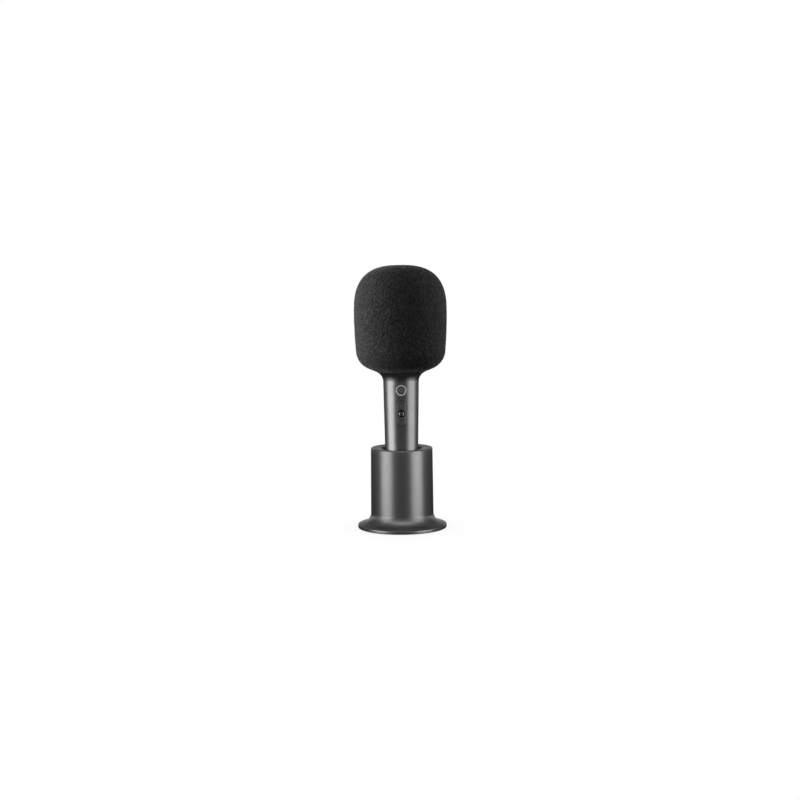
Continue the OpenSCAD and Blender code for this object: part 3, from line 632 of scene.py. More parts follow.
def cross_head_screws_tree():
    """A screw with a cross recess and a thread at every point, its shank along the point's aim."""
    g = Growth("cross_head_screws")
    head_r, head_h, under_r = g.size("Head Radius"), g.size("Head Height"), g.size("Underside Radius")
    shank_r, length, pitch = g.size("Shank Radius"), g.size("Length"), g.size("Pitch")
    recess, material = g.size("Recess Width"), g.size("Material", "Material")
    edge = g.math("MULTIPLY", head_h, 0.22)
    core_r = g.math("MULTIPLY", shank_r, 0.8)
    corners = [(0.0, 0.0), (g.math("MULTIPLY", head_r, 0.84), 0.0), (head_r, edge),
               (under_r, head_h), (core_r, head_h), (core_r, g.math("SUBTRACT", length, core_r)),
               (g.math("MULTIPLY", core_r, 0.3), length), (0.0, length)]
    line = g.node("GeometryNodeMeshLine", {"Count": len(corners)})
    pick = g.node("GeometryNodeIndexSwitch", data_type="VECTOR")
    while len(pick.index_switch_items) < len(corners):
        pick.index_switch_items.new()
    g.tree.links.new(g.node("GeometryNodeInputIndex").outputs[0], pick.inputs["Index"])
    for i, (r, z) in enumerate(corners):
        g.tree.links.new(g.vector(r, 0.0, z), pick.inputs[str(i)])
    profile = g.node("GeometryNodeSetPosition", {"Geometry": line.outputs[0], "Position": pick.outputs[0]})
    body = g.node("GeometryNodeGroup", node_tree=turned_profile.tree)
    g.tree.links.new(profile.outputs[0], body.inputs["Geometry"])
    body.inputs["Steps"].default_value = 32
    body.inputs["Closed"].default_value = 0

    def recess_arm(wide, deep):
        return g.node("GeometryNodeMeshCube", {"Size": g.vector(wide, deep, head_h)}).outputs[0]

    arm = g.math("MULTIPLY", recess, 3.6)
    cut = g.node("GeometryNodeMeshBoolean", operation="DIFFERENCE")
    g.tree.links.new(body.outputs[0], cut.inputs["Mesh 1"])
    for solid in (recess_arm(arm, recess), recess_arm(recess, arm)):
        g.tree.links.new(solid, cut.inputs["Mesh 2"])
    threaded = g.math("SUBTRACT", g.math("SUBTRACT", length, head_h), shank_r)
    spiral = g.node("GeometryNodeCurveSpiral", {
        "Resolution": 16, "Rotations": g.math("DIVIDE", threaded, pitch), "Height": threaded,
        "Start Radius": core_r, "End Radius": core_r})
    ridge_r = g.math("MULTIPLY", shank_r, 0.2)
    ridge = g.node("GeometryNodeCurvePrimitiveCircle", {"Resolution": 3, "Radius": ridge_r})
    thread = g.node("GeometryNodeCurveToMesh", {"Curve": spiral.outputs[0], "Profile Curve": ridge.outputs[0],
                                                "Fill Caps": True})
    raised = g.node("GeometryNodeTransform", {"Geometry": thread.outputs[0],
                                              "Translation": g.vector(0.0, 0.0, head_h)})
    screw = g.node("GeometryNodeJoinGeometry")
    for part in (raised.outputs[0], cut.outputs[0]):
        g.tree.links.new(part, screw.inputs[0])
    aim = g.node("GeometryNodeInputNamedAttribute", {"Name": "aim"}, data_type="FLOAT_VECTOR")
    turn = g.node("FunctionNodeAlignRotationToVector", {"Vector": aim.outputs["Attribute"]}, axis="Z")
    placed = g.node("GeometryNodeInstanceOnPoints", {"Points": g.base, "Instance": screw.outputs[0],
                                                     "Rotation": turn.outputs[0]})
    g.close(placed.outputs[0], material)
    return g


turned_profile = turned_profile_tree()
foam_pores = foam_pores_tree()
cross_head_screws = cross_head_screws_tree()


def solids_of(node):
    """The points of each separate solid in a CAD node's mesh."""
    bm = bmesh.new()
    bm.from_mesh(frame["nodes"][node].data)
    bmesh.ops.remove_doubles(bm, verts=bm.verts, dist=1e-7)
    done, solids = set(), []
    for first in bm.verts:
        if first in done:
            continue
        done.add(first)
        solid, reached = [], [first]
        while reached:
            v = reached.pop()
            solid.append(v)
            for edge in v.link_edges:
                other = edge.other_vert(v)
                if other not in done:
                    done.add(other)
                    reached.append(other)
        solids.append(np.array([v.co for v in solid]))
    bm.free()
    return solids


def measured_screw(points):
    """The place of a screw's head, the way its shank points, and its sizes, from the points of its solid."""
    low, high = points.min(axis=0), points.max(axis=0)
    axis = int(np.argmax(high - low))
    middle = (low + high) / 2
    along = points[:, axis]
    away = np.linalg.norm(np.delete(points - middle, axis, axis=1), axis=1)
    up = along[np.argmax(away)] < middle[axis]
    start, tip = (low[axis], high[axis]) if up else (high[axis], low[axis])
    depth = np.abs(along - start)
    head_r, shank_r = away.max(), away[np.abs(along - tip) < 1e-5].max()
    head_h = depth[away > shank_r * 1.02].max()
    under_r = away[np.abs(depth - head_h) < 1e-5].max()
    # a countersunk head's cone ends on the shank, at the first depth below its face
    if under_r < head_r * 0.98:
        head_h = min(h for h in depth[away > shank_r * 0.98] if h > 1e-5)
        under_r = shank_r
    place, aim = middle.copy(), np.zeros(3)
    place[axis] = start
    aim[axis] = 1.0 if up else -1.0
    sizes = {"Head_Radius": head_r, "Head_Height": head_h, "Underside_Radius": under_r,
             "Shank_Radius": shank_r, "Length": abs(tip - start), "Recess_Width": head_r * 0.28}
    return place, aim, {name: float(size) for name, size in sizes.items()}


def screws(node, body, material, pitch=0.6):
    """The screws of a CAD node, placed and sized by its own solids there, with recess and thread."""
    found = [measured_screw(points) for points in solids_of(node)]
    base = bpy.data.meshes.new(node + "_points")
    base.from_pydata([tuple(place) for place, _, _ in found], [], [])
    aims = [c for _, aim, _ in found for c in aim]
    base.attributes.new("aim", "FLOAT_VECTOR", "POINT").data.foreach_set("vector", aims)
    sizes = found[-1][2]
    piece = cross_head_screws.grow(node + "_threaded", base, 40, Pitch=pitch * MM, Material=material, **sizes)
    return finished(piece, body, [node], None)


# ---------------------------------------------------------------- microphone, outside

FOAM_COLUMNS, FOAM_ROW = 480, 0.62


def foam_head():
    """The windscreen: a turned shell of even rows, into which the pores are sunk."""
    outline = head_outline(0.03)
    outline[0] = (outline[0][0] + 0.15, outline[0][1] + 0.1)
    outer = [outline[0]]
    for (r0, z0), (r1, z1) in zip(outline, outline[1:]):
        n = max(1, round(math.hypot(r1 - r0, z1 - z0) / FOAM_ROW))
        outer += [(r0 + (r1 - r0) * k / n, z0 + (z1 - z0) * k / n) for k in range(1, n + 1)]
    inner = head_outline(FOAM_T, 6, 6, 14)[::-1]
    smooth = turned_profile.grow("smooth_foam", profile_mesh(outer + inner),
                                 Steps=FOAM_COLUMNS, Closed=1, Material=foam)
    piece = foam_pores.grow("foam_head", smooth.data, 80, Pore_Size=1.9 * MM, Pore_Depth=0.5 * MM,
                            Lump_Size=9.0 * MM, Lump_Depth=0.1 * MM, Seed=7.0, Material=foam)
    bpy.data.objects.remove(smooth)
    finished(piece, "microphone", ["foam_windscreen"], None)
    return piece


# the handle is turned in columns; HALF_WINDOW of them on each side of the front make room for the keys' wall
COLUMNS, HALF_WINDOW = 240, 24
WINDOW_LOW, WINDOW_HIGH = 94.0, 139.0
WINDOW_ROWS = [WINDOW_LOW + k for k in range(int(WINDOW_HIGH - WINDOW_LOW) + 1)]
WINDOW_MIDDLE_R = handle_radius((WINDOW_LOW + WINDOW_HIGH) / 2)
WINDOW_HALF_W = TURN * HALF_WINDOW / COLUMNS * WINDOW_MIDDLE_R
OPENING_ROUND, OPENING_BLEND = 0.25, 2.0


def key_distance(x, z):
    """Distance outside both key openings of the handle."""
    return min(math.hypot(x, z - POWER_Z) - RING_HOLE,
               -pill_distance(ROCKER_W + 2 * SLOT_GAP, ROCKER_L + 2 * SLOT_GAP, ROCKER_Z)(x, z))


def handle_profile():
    """The handle's wall as points of (r, z), and where the window's rows start, outside and inside."""
    tip = tuple(SLOPE_FOOT)
    web_z, web_t, web_out, web_in = tip[1], 2.2, 22.0, 11
    outer = rounded([(handle_radius(TUBE_LOW) - 0.6, TUBE_LOW), (handle_radius(TUBE_LOW), TUBE_LOW),
                     (handle_radius(60), 60)], {1: 0.3}, 4)
    outer += [(handle_radius(z), z) for z in (75, 85, *WINDOW_ROWS)]
    outer += arc(FLARE_CENTRE, FLARE_R, 180, math.degrees(SLOPE) + 90 + 1.5, 24)
    end = outer[-1]
    outer += [((end[0] + tip[0]) / 2 + 0.05, (end[1] + tip[1]) / 2 + 0.02), (tip[0] - 0.1, tip[1] - 0.02)]
    web = [(web_out, web_z), (web_in, web_z), (web_in, web_z - web_t)]
    inner_r = FLARE_R + HANDLE_WALL
    web_angle = 180 - math.degrees(math.asin((web_z - web_t - NECK_Z) / inner_r))
    inner_flare = arc(FLARE_CENTRE, inner_r, web_angle, 180, 10)
    inner = [(handle_radius(z) - HANDLE_WALL, z) for z in (*reversed(WINDOW_ROWS), 85, 60, TUBE_LOW)]
    first_out = next(i for i, (_, z) in enumerate(outer) if abs(z - WINDOW_LOW) < 1e-6)
    first_in = len(outer) + len(web) + len(inner_flare)
    return outer + web + inner_flare + inner, (first_out, first_in)


def open_wall(profile, window_starts):
    """The profile turned round the axis, with the window left open at the front."""
    verts, faces = [], []
    for r, z in profile:
        for column in range(COLUMNS):
            angle = TURN * column / COLUMNS - math.pi / 2
            verts.append((r * math.cos(angle), r * math.sin(angle), z))
    open_rows = {start + k for start in window_starts for k in range(len(WINDOW_ROWS) - 1)}
    for i in range(len(profile)):
        n = (i + 1) % len(profile)
        for j in range(COLUMNS):
            in_front = j < HALF_WINDOW or j >= COLUMNS - HALF_WINDOW
            if i in open_rows and in_front:
                continue
            k = (j + 1) % COLUMNS
            faces.append([i * COLUMNS + j, i * COLUMNS + k, n * COLUMNS + k, n * COLUMNS + j])
    return verts, faces


def window_border():
    """The window's edge on the flat patch, with a point for each column and row that it meets."""
    across = [k * TURN / COLUMNS * WINDOW_MIDDLE_R for k in range(-HALF_WINDOW, HALF_WINDOW + 1)]
    border = [(u, WINDOW_LOW) for u in across[:-1]]
    border += [(WINDOW_HALF_W, z) for z in WINDOW_ROWS[:-1]]
    border += [(u, WINDOW_HIGH) for u in across[:0:-1]]
    border += [(-WINDOW_HALF_W, z) for z in WINDOW_ROWS[:0:-1]]
    return border


def window_patch():
    """The wall round the keys, laid out flat on (arc length, height) and bent round the tube."""
    def to_flat(x, z):
        return math.asin(x / handle_radius(z)) * WINDOW_MIDDLE_R, z

    def from_flat(u, z):
        return handle_radius(z) * math.sin(u / WINDOW_MIDDLE_R), z

    def inside(u, z):
        if not (WINDOW_LOW <= z <= WINDOW_HIGH and abs(u) <= WINDOW_HALF_W):
            return -1
        return key_distance(*from_flat(u, z))

    loops = [window_border()]
    for opening in (circle_loop(RING_HOLE, POWER_Z),
                    pill_loop(ROCKER_W + 2 * SLOT_GAP, ROCKER_L + 2 * SLOT_GAP, ROCKER_Z)):
        loops += [[to_flat(*p) for p in opening(-step)] for step in EDGE_STEPS]
    box = ((-WINDOW_HALF_W, WINDOW_LOW), (WINDOW_HALF_W, WINDOW_HIGH))
    flat, tris = triangulated(loops, inside, 1.0, box)
    outside_verts, inside_verts = [], []
    for u, z in flat:
        x, _ = from_flat(u, z)
        away = key_distance(x, z)
        r = handle_radius(z) - edge_drop(away, OPENING_ROUND)
        outside_verts.append((x, -math.sqrt(r * r - x * x), z))
        # the opening's wall goes straight back, and away from it the inside follows the tube's centre
        w = min(1.0, max(0.0, away) / OPENING_BLEND)
        w = w * w * (3 - 2 * w)
        r = handle_radius(z) - HANDLE_WALL
        x *= 1 - w * (1 - r / handle_radius(z))
        inside_verts.append((x, -math.sqrt(r * r - x * x), z))
    count = len(flat)
    faces = [list(f) for f in tris] + [[count + i for i in reversed(f)] for f in tris]
    for a, b in open_sides(tris):
        if key_distance(*from_flat(*flat[a])) < 0.01:
            faces.append([b, a, count + a, count + b])
    return outside_verts + inside_verts, faces


def handle_tube():
    """The tapered tube with its flare; the wall round the keys is one fine patch with rounded openings."""
    profile, window_starts = handle_profile()
    verts, faces = open_wall(profile, window_starts)
    patch_verts, patch_faces = window_patch()
    faces += [[len(verts) + i for i in f] for f in patch_faces]
    piece = new_piece("handle_tube", verts + patch_verts, faces, 50)
    return finished(piece, "microphone", ["handle_shell"], gunmetal)


def cone_front(grow):
    """The handle's surface grown by grow, as depth over the XZ plane."""
    return lambda x, z: -math.sqrt((handle_radius(z) + grow) ** 2 - x * x)


def flat_back(y):
    """A flat back at depth y."""
    return lambda x, z: y


def around(z, half_w, half_h):
    """The flat box about height z that a key's face fills."""
    return (-half_w, z - half_h), (half_w, z + half_h)


def hole_distance(r, z):
    """Distance outside a circle, negative inside it."""
    return lambda x, h: math.hypot(x, h - z) - r


def light_ring():
    ring = plate("light_ring_face", [circle_loop(RING_R, POWER_Z), circle_loop(RING_BORE, POWER_Z)],
                 [circle_distance(RING_R, POWER_Z), hole_distance(RING_BORE, POWER_Z)],
                 cone_front(0.1), flat_back(RING_BACK_Y), 0.5, 0.2, around(POWER_Z, RING_R, RING_R))
    glow = Finish("ring_diffuser", (0.62, 0.63, 0.65), 0.35)
    haze = glow.noise(0.5, 2.0)
    glow.colour(glow.blend(haze, (0.55, 0.56, 0.58), (0.68, 0.69, 0.7)))
    glow.relief(glow.noise(0.2), 0.004, 0.4)
    finished(ring, "microphone", ["power_light_ring"], glow.material)


def power_key():
    """The key's cap with its collar and its stem."""
    cap = plate("power_cap", [circle_loop(POWER_R, POWER_Z)], [circle_distance(POWER_R, POWER_Z)],
                cone_front(-0.1), flat_back(KEY_BACK_Y), 0.5, 0.3, around(POWER_Z, POWER_R, POWER_R))
    collar = bar_y(POWER_Z, POWER_R + 0.6, KEY_BACK_Y, KEY_BACK_Y + 0.8)
    stem = bar_y(POWER_Z, 1.2, KEY_BACK_Y + 0.7, STEM_END_Y)
    signs = [("arc", 0.0, POWER_Z, 1.5, 0.16), ("bar", 0.0, POWER_Z + 1.15, 0.14, 0.85)]
    marked = mark_finish("power_key_coat", KEY_COAT, signs, (0.25, 0.25, 0.25), 0.4)
    finished(joined("power_cap", cap, collar, stem), "power_button", ["power_key"], marked)


def pivot_lug(side):
    """A lug behind the rocker on side -1 or 1, which carries its pivot."""
    mesh = bpy.data.meshes.new("lug")
    bm = bmesh.new()
    bmesh.ops.create_cube(bm, size=1)
    centre = Vector((side * LUG_X, PIVOT_Y, ROCKER_Z))
    for v in bm.verts:
        v.co = (centre + Vector(c * size for c, size in zip(v.co, LUG_SIZE))) * MM
    bmesh.ops.bevel(bm, geom=bm.edges[:], offset=LUG_ROUND * MM, segments=2, profile=0.5, affect="EDGES")
    bm.to_mesh(mesh)
    bm.free()
    return bpy.data.objects.new("lug", mesh)


def pivot_pin(side):
    """A short pin along X on side -1 or 1, on which the rocker tilts."""
    start, end = side * PIVOT_FROM, side * PIVOT_TO
    verts, faces = turned(rounded([(0, start), (PIVOT_R, start), (PIVOT_R, end), (0, end)], {2: 0.1}, 3), 24)
    return new_piece("pin", [(along, PIVOT_Y + across, ROCKER_Z + up) for across, up, along in verts], faces)


def rocker_key():
    """The pill with a bore for the middle key, its two stems, and its pivots on their lugs."""
    pill = plate("rocker_cap", [pill_loop(ROCKER_W, ROCKER_L, ROCKER_Z), circle_loop(ROCKER_BORE, ROCKER_Z)],
                 [pill_distance(ROCKER_W, ROCKER_L, ROCKER_Z), hole_distance(ROCKER_BORE, ROCKER_Z)],
                 cone_front(0.15), flat_back(KEY_BACK_Y), 0.7, 0.35,
                 around(ROCKER_Z, ROCKER_W / 2, ROCKER_L / 2))
    parts = [pill]
    for side in (-1, 1):
        parts.append(bar_y(ROCKER_Z + side * SIGN_Z, 1.1, KEY_BACK_Y - 0.1, STEM_END_Y))
        parts += [pivot_pin(side), pivot_lug(side)]
    signs = [("bar", 0.0, ROCKER_Z + SIGN_Z, 1.1, 0.14), ("bar", 0.0, ROCKER_Z + SIGN_Z, 0.14, 1.1),
             ("bar", 0.0, ROCKER_Z - SIGN_Z, 1.1, 0.14)]
    marked = mark_finish("rocker_coat", KEY_COAT, signs, (0.16, 0.16, 0.16), 0.38)
    finished(joined("rocker_cap", *parts), "rocker", ["volume_rocker"], marked)


def mode_key():
    """The domed round key in the rocker's middle, with its collar and its stem."""
    crown_y = -handle_radius(ROCKER_Z) - 0.25

    def crown(x, z):
        return crown_y + MODE_CROWN_R - math.sqrt(MODE_CROWN_R ** 2 - x * x - (z - ROCKER_Z) ** 2)

    face = plate("mode_dome", [circle_loop(MODE_R, ROCKER_Z)], [circle_distance(MODE_R, ROCKER_Z)],
                 crown, flat_back(MODE_BACK_Y), 0.45, 0.25, around(ROCKER_Z, MODE_R, MODE_R))
    collar = bar_y(ROCKER_Z, MODE_R + 0.3, MODE_BACK_Y, MODE_BACK_Y + 0.5)
    stem = bar_y(ROCKER_Z, 1.0, MODE_BACK_Y + 0.45, STEM_END_Y)
    polish = Finish("polished_key", (0.11, 0.11, 0.112), 0.13, 1.0)
    polish.roughness(polish.math("MULTIPLY_ADD", polish.noise(0.6, 3.0), 0.08, 0.1))
    return finished(joined("mode_dome", face, collar, stem), "mode_button", ["mode_key"],
                    polish.material)


# ---------------------------------------------------------------- stand

def stand_body():
    """The shell: a sloping foot, a fillet up to the cup, a rolled rim and a funnel into the well."""
    fillet_x = CUP_LOW_R + FILLET_R
    slope = math.radians(FOOT_SLOPE)
    fillet_z = FOOT_EDGE_Z + (FOOT_R - 0.5 - fillet_x) * math.tan(slope) + FILLET_R / math.cos(slope)
    outside = arc((FOOT_R - 0.8, FOOT_LOW + 0.8), 0.8, -90, 0, 8)
    outside += arc((FOOT_R - 0.5, FOOT_EDGE_Z - 0.5), 0.5, 0, 90 - FOOT_SLOPE, 8)
    outside += arc((fillet_x, fillet_z), FILLET_R, 270 - FOOT_SLOPE, 180, 40)
    low_r, low_z = outside[-1]
    cup_top, cup_rows = RIM_Z - RIM_ROUND, 12
    outside += [(low_r + (CUP_RIM_R - low_r) * k / cup_rows, low_z + (cup_top - low_z) * k / cup_rows)
                for k in range(1, cup_rows)]
    outside += arc((CUP_RIM_R - RIM_ROUND, cup_top), RIM_ROUND, 0, 90, 12)
    roll_r = MOUTH_R + FUNNEL_ROUND
    funnel = arc((roll_r, RIM_Z - FUNNEL_DROP - FUNNEL_ROUND), FUNNEL_ROUND, 90, 180, 20)
    bore_r = CUP_RIM_R - STAND_WALL
    inside = [(MOUTH_R, RIM_Z - 6), (MOUTH_R + STAND_WALL, RIM_Z - 6), (roll_r, RIM_Z - 3.2),
              (bore_r - 1.2, RIM_Z - 2.8), (bore_r, RIM_Z - 4.4)]
    inside += arc((fillet_x, fillet_z), FILLET_R + STAND_WALL, 180, 250, 16)
    inside += [(inside[-1][0], PLATE_RECESS_Z), (PLATE_RECESS_R, PLATE_RECESS_Z), (PLATE_RECESS_R, FOOT_LOW)]
    piece = turned_profile.grow("stand_body", profile_mesh(outside + funnel + inside), 40,
                                Steps=288, Closed=1, Material=stand_paint())
    return finished(piece, "stand", ["stand_shell"], None)


def foot_ring():
    """The rubber pad with shallow round grooves in its face."""
    grooves = []
    for r in reversed(GROOVE_RADII):
        grooves += [(r - 0.9, 0), (r - 0.7, GROOVE_DEPTH), (r + 0.7, GROOVE_DEPTH), (r + 0.9, 0)]
    edge = rounded([(0, 0.0), (PAD_R, 0.0), (PAD_R, PAD_T), (0, PAD_T)], {1: 0.3, 2: 0.1}, 4)[1:]
    piece = turned_profile.grow("foot_rubber", profile_mesh([(0, 0.0)] + grooves + edge), 30,
                                Steps=192, Closed=0, Material=black_rubber)
    return finished(piece, "stand", ["foot_pad"], None)


foam_piece = foam_head()
handle_piece = handle_tube()
light_ring()
power_key()
rocker_key()
dome_piece = mode_key()
stand_piece = stand_body()
foot_ring()
screws("stand_screws", "stand", zinc, 0.8)
for name in ("end_cap_screws", "board_screws", "head_screws", "speaker_screws"):
    screws(name, "microphone", zinc)

# -------------------------------------------------------- finishes of the nodes that keep their CAD mesh

fibre = Finish("pressed_paper", (0.03, 0.03, 0.033), 0.85)
fibre.colour(fibre.blend(fibre.noise(0.6, 5.0, 0.7), (0.018, 0.018, 0.02), (0.05, 0.05, 0.052)))
fibre.relief(fibre.noise(0.5, 4.0, 0.7), 0.05, 0.6)

cloth = Finish("spider_cloth", (0.55, 0.45, 0.22), 0.8)
x, y, _ = cloth.axes()
weave = cloth.math("MULTIPLY", cloth.ripple(x, 12.0), cloth.ripple(y, 12.0))
cloth.colour(cloth.blend(cloth.spread(weave, -1, 1), (0.42, 0.33, 0.14), (0.62, 0.52, 0.28)))
cloth.relief(cloth.ripple(cloth.length(x, y), 3.4), 0.3, 0.7)

coil = Finish("enamelled_copper", (0.65, 0.28, 0.1), 0.3, 1.0)
turns = coil.math("ABSOLUTE", coil.ripple(coil.axes()[2], 14.0))
# painted shade and light: the copper is painted dark in the grooves between the turns and lighter on their
# crests
coil.colour(coil.blend(turns, (0.3, 0.1, 0.03), (0.75, 0.36, 0.14)))
coil.relief(turns, 0.1, 0.8)

board = Finish("solder_mask", (0.02, 0.12, 0.06), 0.35, Coat_Weight=0.4)
x, _, z = board.axes()
level_tracks = board.spread(board.math("ABSOLUTE", board.ripple(z, 2.4)), 0.93, 0.97)
upright_tracks = board.spread(board.math("ABSOLUTE", board.ripple(x, 3.1)), 0.95, 0.98)
tracks = board.math("MULTIPLY", board.math("MAXIMUM", level_tracks, upright_tracks),
                    board.spread(board.noise(4.0, 1.0), 0.48, 0.52))
board.colour(board.blend(tracks, (0.015, 0.1, 0.05), (0.05, 0.24, 0.13)))
board.relief(tracks, 0.03, 0.6)

film = Finish("shrink_film", (0.05, 0.17, 0.4), 0.28, Coat_Weight=0.3)
stretched = film.node("ShaderNodeMapping", {"Vector": film.place, "Scale": (1.0, 1.0, 0.12)})
height = film.axes()[2]
ends = film.math("MAXIMUM", film.spread(height, 86.6, 86.8), film.spread(height, 23.4, 23.2))
film.colour(film.blend(ends, (0.045, 0.15, 0.38), (0.6, 0.6, 0.58)))
film.relief(film.noise(1.2, 2.0, 0.4, stretched.outputs["Vector"]), 0.04, 0.5)

cast = Finish("cast_iron", (0.16, 0.16, 0.165), 0.6, 0.9)
cast.colour(cast.blend(cast.noise(2.5, 4.0), (0.11, 0.11, 0.115), (0.21, 0.21, 0.215)))
cast.relief(cast.noise(0.8, 4.0, 0.6), 0.12, 0.7)

red_wire = Finish("red_insulation", (0.42, 0.02, 0.02), 0.4)
red_wire.colour(red_wire.blend(red_wire.noise(2.0), (0.35, 0.015, 0.015), (0.5, 0.03, 0.03)))
red_wire.relief(red_wire.noise(0.3), 0.01, 0.5)

capsule_foam = Finish("capsule_foam_finish", (0.02, 0.02, 0.02), 0.95, Sheen_Weight=0.2)
pores = capsule_foam.cells(0.7)
open_pores = capsule_foam.spread(pores, 0.1, 0.6)
# painted shade: the sunk pores are painted darker than the struts round them
capsule_foam.colour(capsule_foam.blend(open_pores, (0.004, 0.004, 0.004), (0.035, 0.035, 0.035)))
capsule_foam.relief(pores, 0.3, 0.8)

finishes = {
    "gunmetal_paint": gunmetal,
    "gunmetal_metal": gunmetal,
    "gunmetal_key": gunmetal,
    "polished_key": zinc,
    "light_ring": dark_plastic,
    "black_plastic": dark_plastic,
    "black_rubber": black_rubber,
    "black_foam": capsule_foam.material,
    "surround_rubber": rubber("surround_rubber", (0.012, 0.012, 0.012), 0.6).material,
    "ballast_iron": cast.material,
    "black_steel": satin_metal("black_coated_steel", (0.04, 0.04, 0.042), 0.45, 0.3).material,
    "speaker_steel": satin_metal("speaker_steel", (0.07, 0.07, 0.075), 0.4, 0.5).material,
    "zinc_steel": zinc,
    "socket_steel": plain_metal("socket_shell_steel", (0.66, 0.66, 0.68), 0.28).material,
    "switch_steel": plain_metal("switch_plate", (0.6, 0.6, 0.6), 0.35).material,
    "nickel_strip": plain_metal("nickel", (0.68, 0.66, 0.6), 0.25).material,
    "magnet": moulded("ferrite", (0.05, 0.05, 0.055), 0.5, 0.4).material,
    "circuit_board": board.material,
    "chip_plastic": moulded("chip_body", (0.02, 0.02, 0.022), 0.45, 0.15).material,
    "battery_sleeve": film.material,
    "copper_coil": coil.material,
    "paper_cone": fibre.material,
    "spider_cloth": cloth.material,
    "brass_capsule": plain_metal("capsule_brass", (0.55, 0.45, 0.22), 0.3).material,
    "black_wire": rubber("black_insulation", (0.02, 0.02, 0.02), 0.5).material,
    "red_wire": red_wire.material,
}
slot_of = {s["node"]: s["material_slot"] for s in frame["record"]["subparts"]}
for name, node in frame["nodes"].items():
    node.data.materials.clear()
    node.data.materials.append(finishes[slot_of[name]])

# ---------------------------------------------------------------- floor, light and camera

scene = bpy.context.scene
scene.view_settings.view_transform = "Standard"

FLOOR_HALF, FLOOR_Z, FLOOR_SHADOW_REACH = 6, -0.0002, 0.05


def pale_floor():
    """A white sheet that only the camera sees, with a painted contact shadow: greyed where the object stands
    close to it.
    """
    corners = [(-1, -1), (1, -1), (1, 1), (-1, 1)]
    mesh = bpy.data.meshes.new("floor")
    mesh.from_pydata([(x * FLOOR_HALF, y * FLOOR_HALF, FLOOR_Z) for x, y in corners], [], [[0, 1, 2, 3]])
    sheet = bpy.data.objects.new("floor", mesh)
    scene.collection.objects.link(sheet)
    paint = bpy.data.materials.new("pale_floor")
    paint.use_nodes = True
    tree = paint.node_tree
    tree.nodes.clear()
    out = tree.nodes.new("ShaderNodeOutputMaterial")
    glow = tree.nodes.new("ShaderNodeEmission")
    near = tree.nodes.new("ShaderNodeAmbientOcclusion")
    near.inputs["Distance"].default_value = FLOOR_SHADOW_REACH
    near.samples = 8
    tone = tree.nodes.new("ShaderNodeMapRange")
    for name, value in {"From Min": 0.3, "From Max": 0.95, "To Min": 0.85, "To Max": 1.0}.items():
        tone.inputs[name].default_value = value
    tree.links.new(near.outputs["AO"], tone.inputs["Value"])
    # painted shadow: the ambient occlusion lowers the sheet's glow near the object
    tree.links.new(tone.outputs["Result"], glow.inputs["Strength"])
    tree.links.new(glow.outputs["Emission"], out.inputs["Surface"])
    mesh.materials.append(paint)
    sheet.visible_glossy = False
    sheet.visible_diffuse = False
    sheet.visible_shadow = False
    return sheet


floor = pale_floor()

# the room's light: (height of the direction, tone), on the object's front side and behind it
FRONT_TONES = ((-1.0, 0.02), (-0.5, 0.03), (-0.2, 0.10), (-0.08, 0.17), (0.1, 0.26), (0.5, 0.36), (1.0, 0.3))
BACK_TONES = ((-1.0, 0.02), (-0.3, 0.03), (-0.05, 0.04), (0.0, 0.9), (0.13, 0.9), (0.2, 0.3), (0.5, 0.12),
              (1.0, 0.3))


def studio_room():
    """White to the camera. Its light is a room's: dark below, with a bright band behind the object."""
    world = bpy.data.worlds.new("studio_room")
    scene.world = world
    world.use_nodes = True
    tree = world.node_tree
    tree.nodes.clear()
    link = tree.links.new
    toward = tree.nodes.new("ShaderNodeTexCoord")
    split = tree.nodes.new("ShaderNodeSeparateXYZ")
    link(toward.outputs["Generated"], split.inputs[0])
    rise = tree.nodes.new("ShaderNodeMapRange")
    rise.inputs["From Min"].default_value = -1
    link(split.outputs["Z"], rise.inputs["Value"])

    def by_height(tones):
        ramp = tree.nodes.new("ShaderNodeValToRGB")
        link(rise.outputs["Result"], ramp.inputs["Fac"])
        stops = ramp.color_ramp.elements
        while len(stops) < len(tones):
            stops.new(0.5)
        for stop, (z, tone) in zip(stops, tones):
            stop.position, stop.color = (z + 1) / 2, (tone, tone, tone, 1)
        return ramp.outputs["Color"]

    behind = tree.nodes.new("ShaderNodeMapRange")
    behind.inputs["From Min"].default_value, behind.inputs["From Max"].default_value = -0.6, 0.6
    link(split.outputs["Y"], behind.inputs["Value"])
    mixed = tree.nodes.new("ShaderNodeMix")
    mixed.data_type = "RGBA"
    link(behind.outputs["Result"], mixed.inputs[0])
    link(by_height(FRONT_TONES), mixed.inputs[6])
    link(by_height(BACK_TONES), mixed.inputs[7])
    seen, lit = tree.nodes.new("ShaderNodeBackground"), tree.nodes.new("ShaderNodeBackground")
    link(mixed.outputs[2], lit.inputs["Color"])
    seen.inputs["Color"].default_value = (1, 1, 1, 1)
    path, mix = tree.nodes.new("ShaderNodeLightPath"), tree.nodes.new("ShaderNodeMixShader")
    out = tree.nodes.new("ShaderNodeOutputWorld")
    link(path.outputs["Is Camera Ray"], mix.inputs[0])
    link(lit.outputs[0], mix.inputs[1])
    link(seen.outputs[0], mix.inputs[2])
    link(mix.outputs[0], out.inputs["Surface"])


def lit_group(name, pieces, state):
    """A group of pieces that a light reaches, or leaves out."""
    group = bpy.data.collections.new(name)
    for piece in pieces:
        group.objects.link(piece)
    for entry in group.collection_objects:
        entry.light_linking.link_state = state
    return group


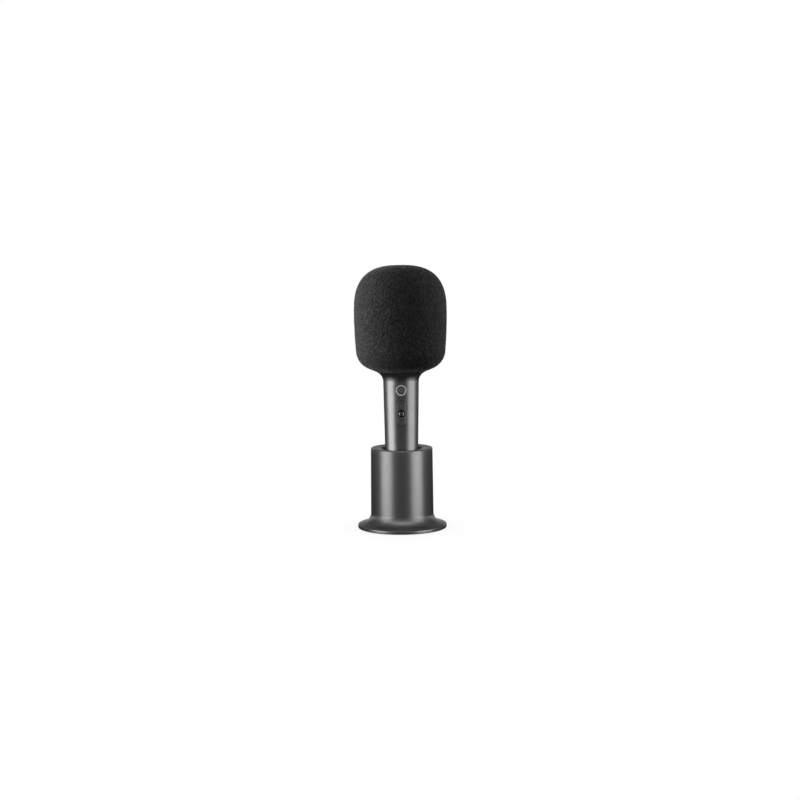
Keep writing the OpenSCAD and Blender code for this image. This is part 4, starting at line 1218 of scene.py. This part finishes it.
def softbox(name, azimuth, distance, height, width, tall, radiance, aim=None, reach=None, shade=None):
    """A soft panel that faces the axis, at its own height or at the height aim.

    Azimuth 0 is the front and 90 the right. reach is the group of pieces that it lights, and shade says
    which pieces cast its shadow.
    """
    light = bpy.data.lights.new(name, "AREA")
    light.shape, light.size, light.size_y = "RECTANGLE", width, tall
    light.energy = radiance * math.pi * width * tall
    lamp = bpy.data.objects.new(name, light)
    a = math.radians(azimuth)
    lamp.location = (math.sin(a) * distance, -math.cos(a) * distance, height)
    lamp.rotation_mode = "QUATERNION"
    target = Vector((0, 0, height if aim is None else aim))
    lamp.rotation_quaternion = (target - lamp.location).to_track_quat("-Z", "Y")
    lamp.visible_camera = False
    scene.collection.objects.link(lamp)
    if reach:
        lamp.light_linking.receiver_collection = reach
    if shade:
        lamp.light_linking.blocker_collection = shade


studio_room()
foam_lit = lit_group("foam_lit", [foam_piece], "INCLUDE")
stand_lit = lit_group("stand_lit", [foam_piece, dome_piece, handle_piece], "EXCLUDE")
metal_lit = lit_group("metal_lit", [foam_piece, dome_piece], "EXCLUDE")
soft_lit = lit_group("soft_lit", [foam_piece, handle_piece], "INCLUDE")
handle_lit = lit_group("handle_lit", [handle_piece], "INCLUDE")
dome_lit = lit_group("dome_lit", [dome_piece], "INCLUDE")
past_rim = lit_group("past_rim", [stand_piece], "EXCLUDE")

# each panel's azimuth, distance from the axis, height, width, own height and radiance
softbox("left_stand_panel", -58, 0.9, -0.05, 0.66, 0.18, 4.4, reach=stand_lit)
softbox("right_stand_panel", 56, 0.9, -0.05, 0.66, 0.18, 4.0, reach=stand_lit)
softbox("left_tall_panel", -62, 0.9, 0.5, 0.66, 0.9, 1.3, reach=stand_lit)
softbox("right_tall_panel", 60, 0.9, 0.5, 0.66, 0.9, 1.2, reach=stand_lit)
softbox("left_handle_panel", -74, 0.9, 0.02, 0.8, 0.4, 4.1, reach=soft_lit, shade=past_rim)
softbox("right_handle_panel", 73, 0.9, 0.02, 0.9, 0.4, 2.6, reach=handle_lit, shade=past_rim)
softbox("left_floor_panel", -74, 0.9, -0.5, 0.85, 0.6, 0.9, reach=handle_lit, shade=past_rim)
softbox("right_floor_panel", 73, 0.9, -0.5, 0.9, 0.6, 0.7, reach=handle_lit, shade=past_rim)
softbox("high_panel", 0, 0.60, 0.93, 1.1, 0.8, 0.75, aim=0.0, reach=metal_lit)
softbox("left_dome_panel", -72, 0.9, -0.12, 0.5, 2.2, 4.0, reach=dome_lit)
softbox("right_dome_panel", 72, 0.9, -0.12, 0.5, 2.2, 3.6, reach=dome_lit)
softbox("left_foam_panel", -98, 0.7, 0.30, 0.6, 0.5, 6.0, aim=0.21, reach=foam_lit)
softbox("right_foam_panel", 98, 0.7, 0.30, 0.6, 0.5, 2.4, aim=0.21, reach=foam_lit)

SENSOR_W, LENS_RATIO, CAMERA_SHIFT = 36, 1.7173, -0.0014875
CAMERA_PLACE, CAMERA_DIP, CAMERA_ROLL = (0, -1.3, 0.245), math.radians(5.40), math.radians(-0.58)
camera_data = bpy.data.cameras.new("camera")
camera_data.sensor_width = SENSOR_W
camera_data.lens = SENSOR_W * LENS_RATIO
camera_data.shift_x = CAMERA_SHIFT
camera_data.clip_start, camera_data.clip_end = 0.05, 50
camera = bpy.data.objects.new("camera", camera_data)
camera.matrix_world = (Matrix.Translation(CAMERA_PLACE) @ Matrix.Rotation(math.pi / 2 - CAMERA_DIP, 4, "X")
                       @ Matrix.Rotation(CAMERA_ROLL, 4, "Z"))
scene.collection.objects.link(camera)
scene.camera = camera
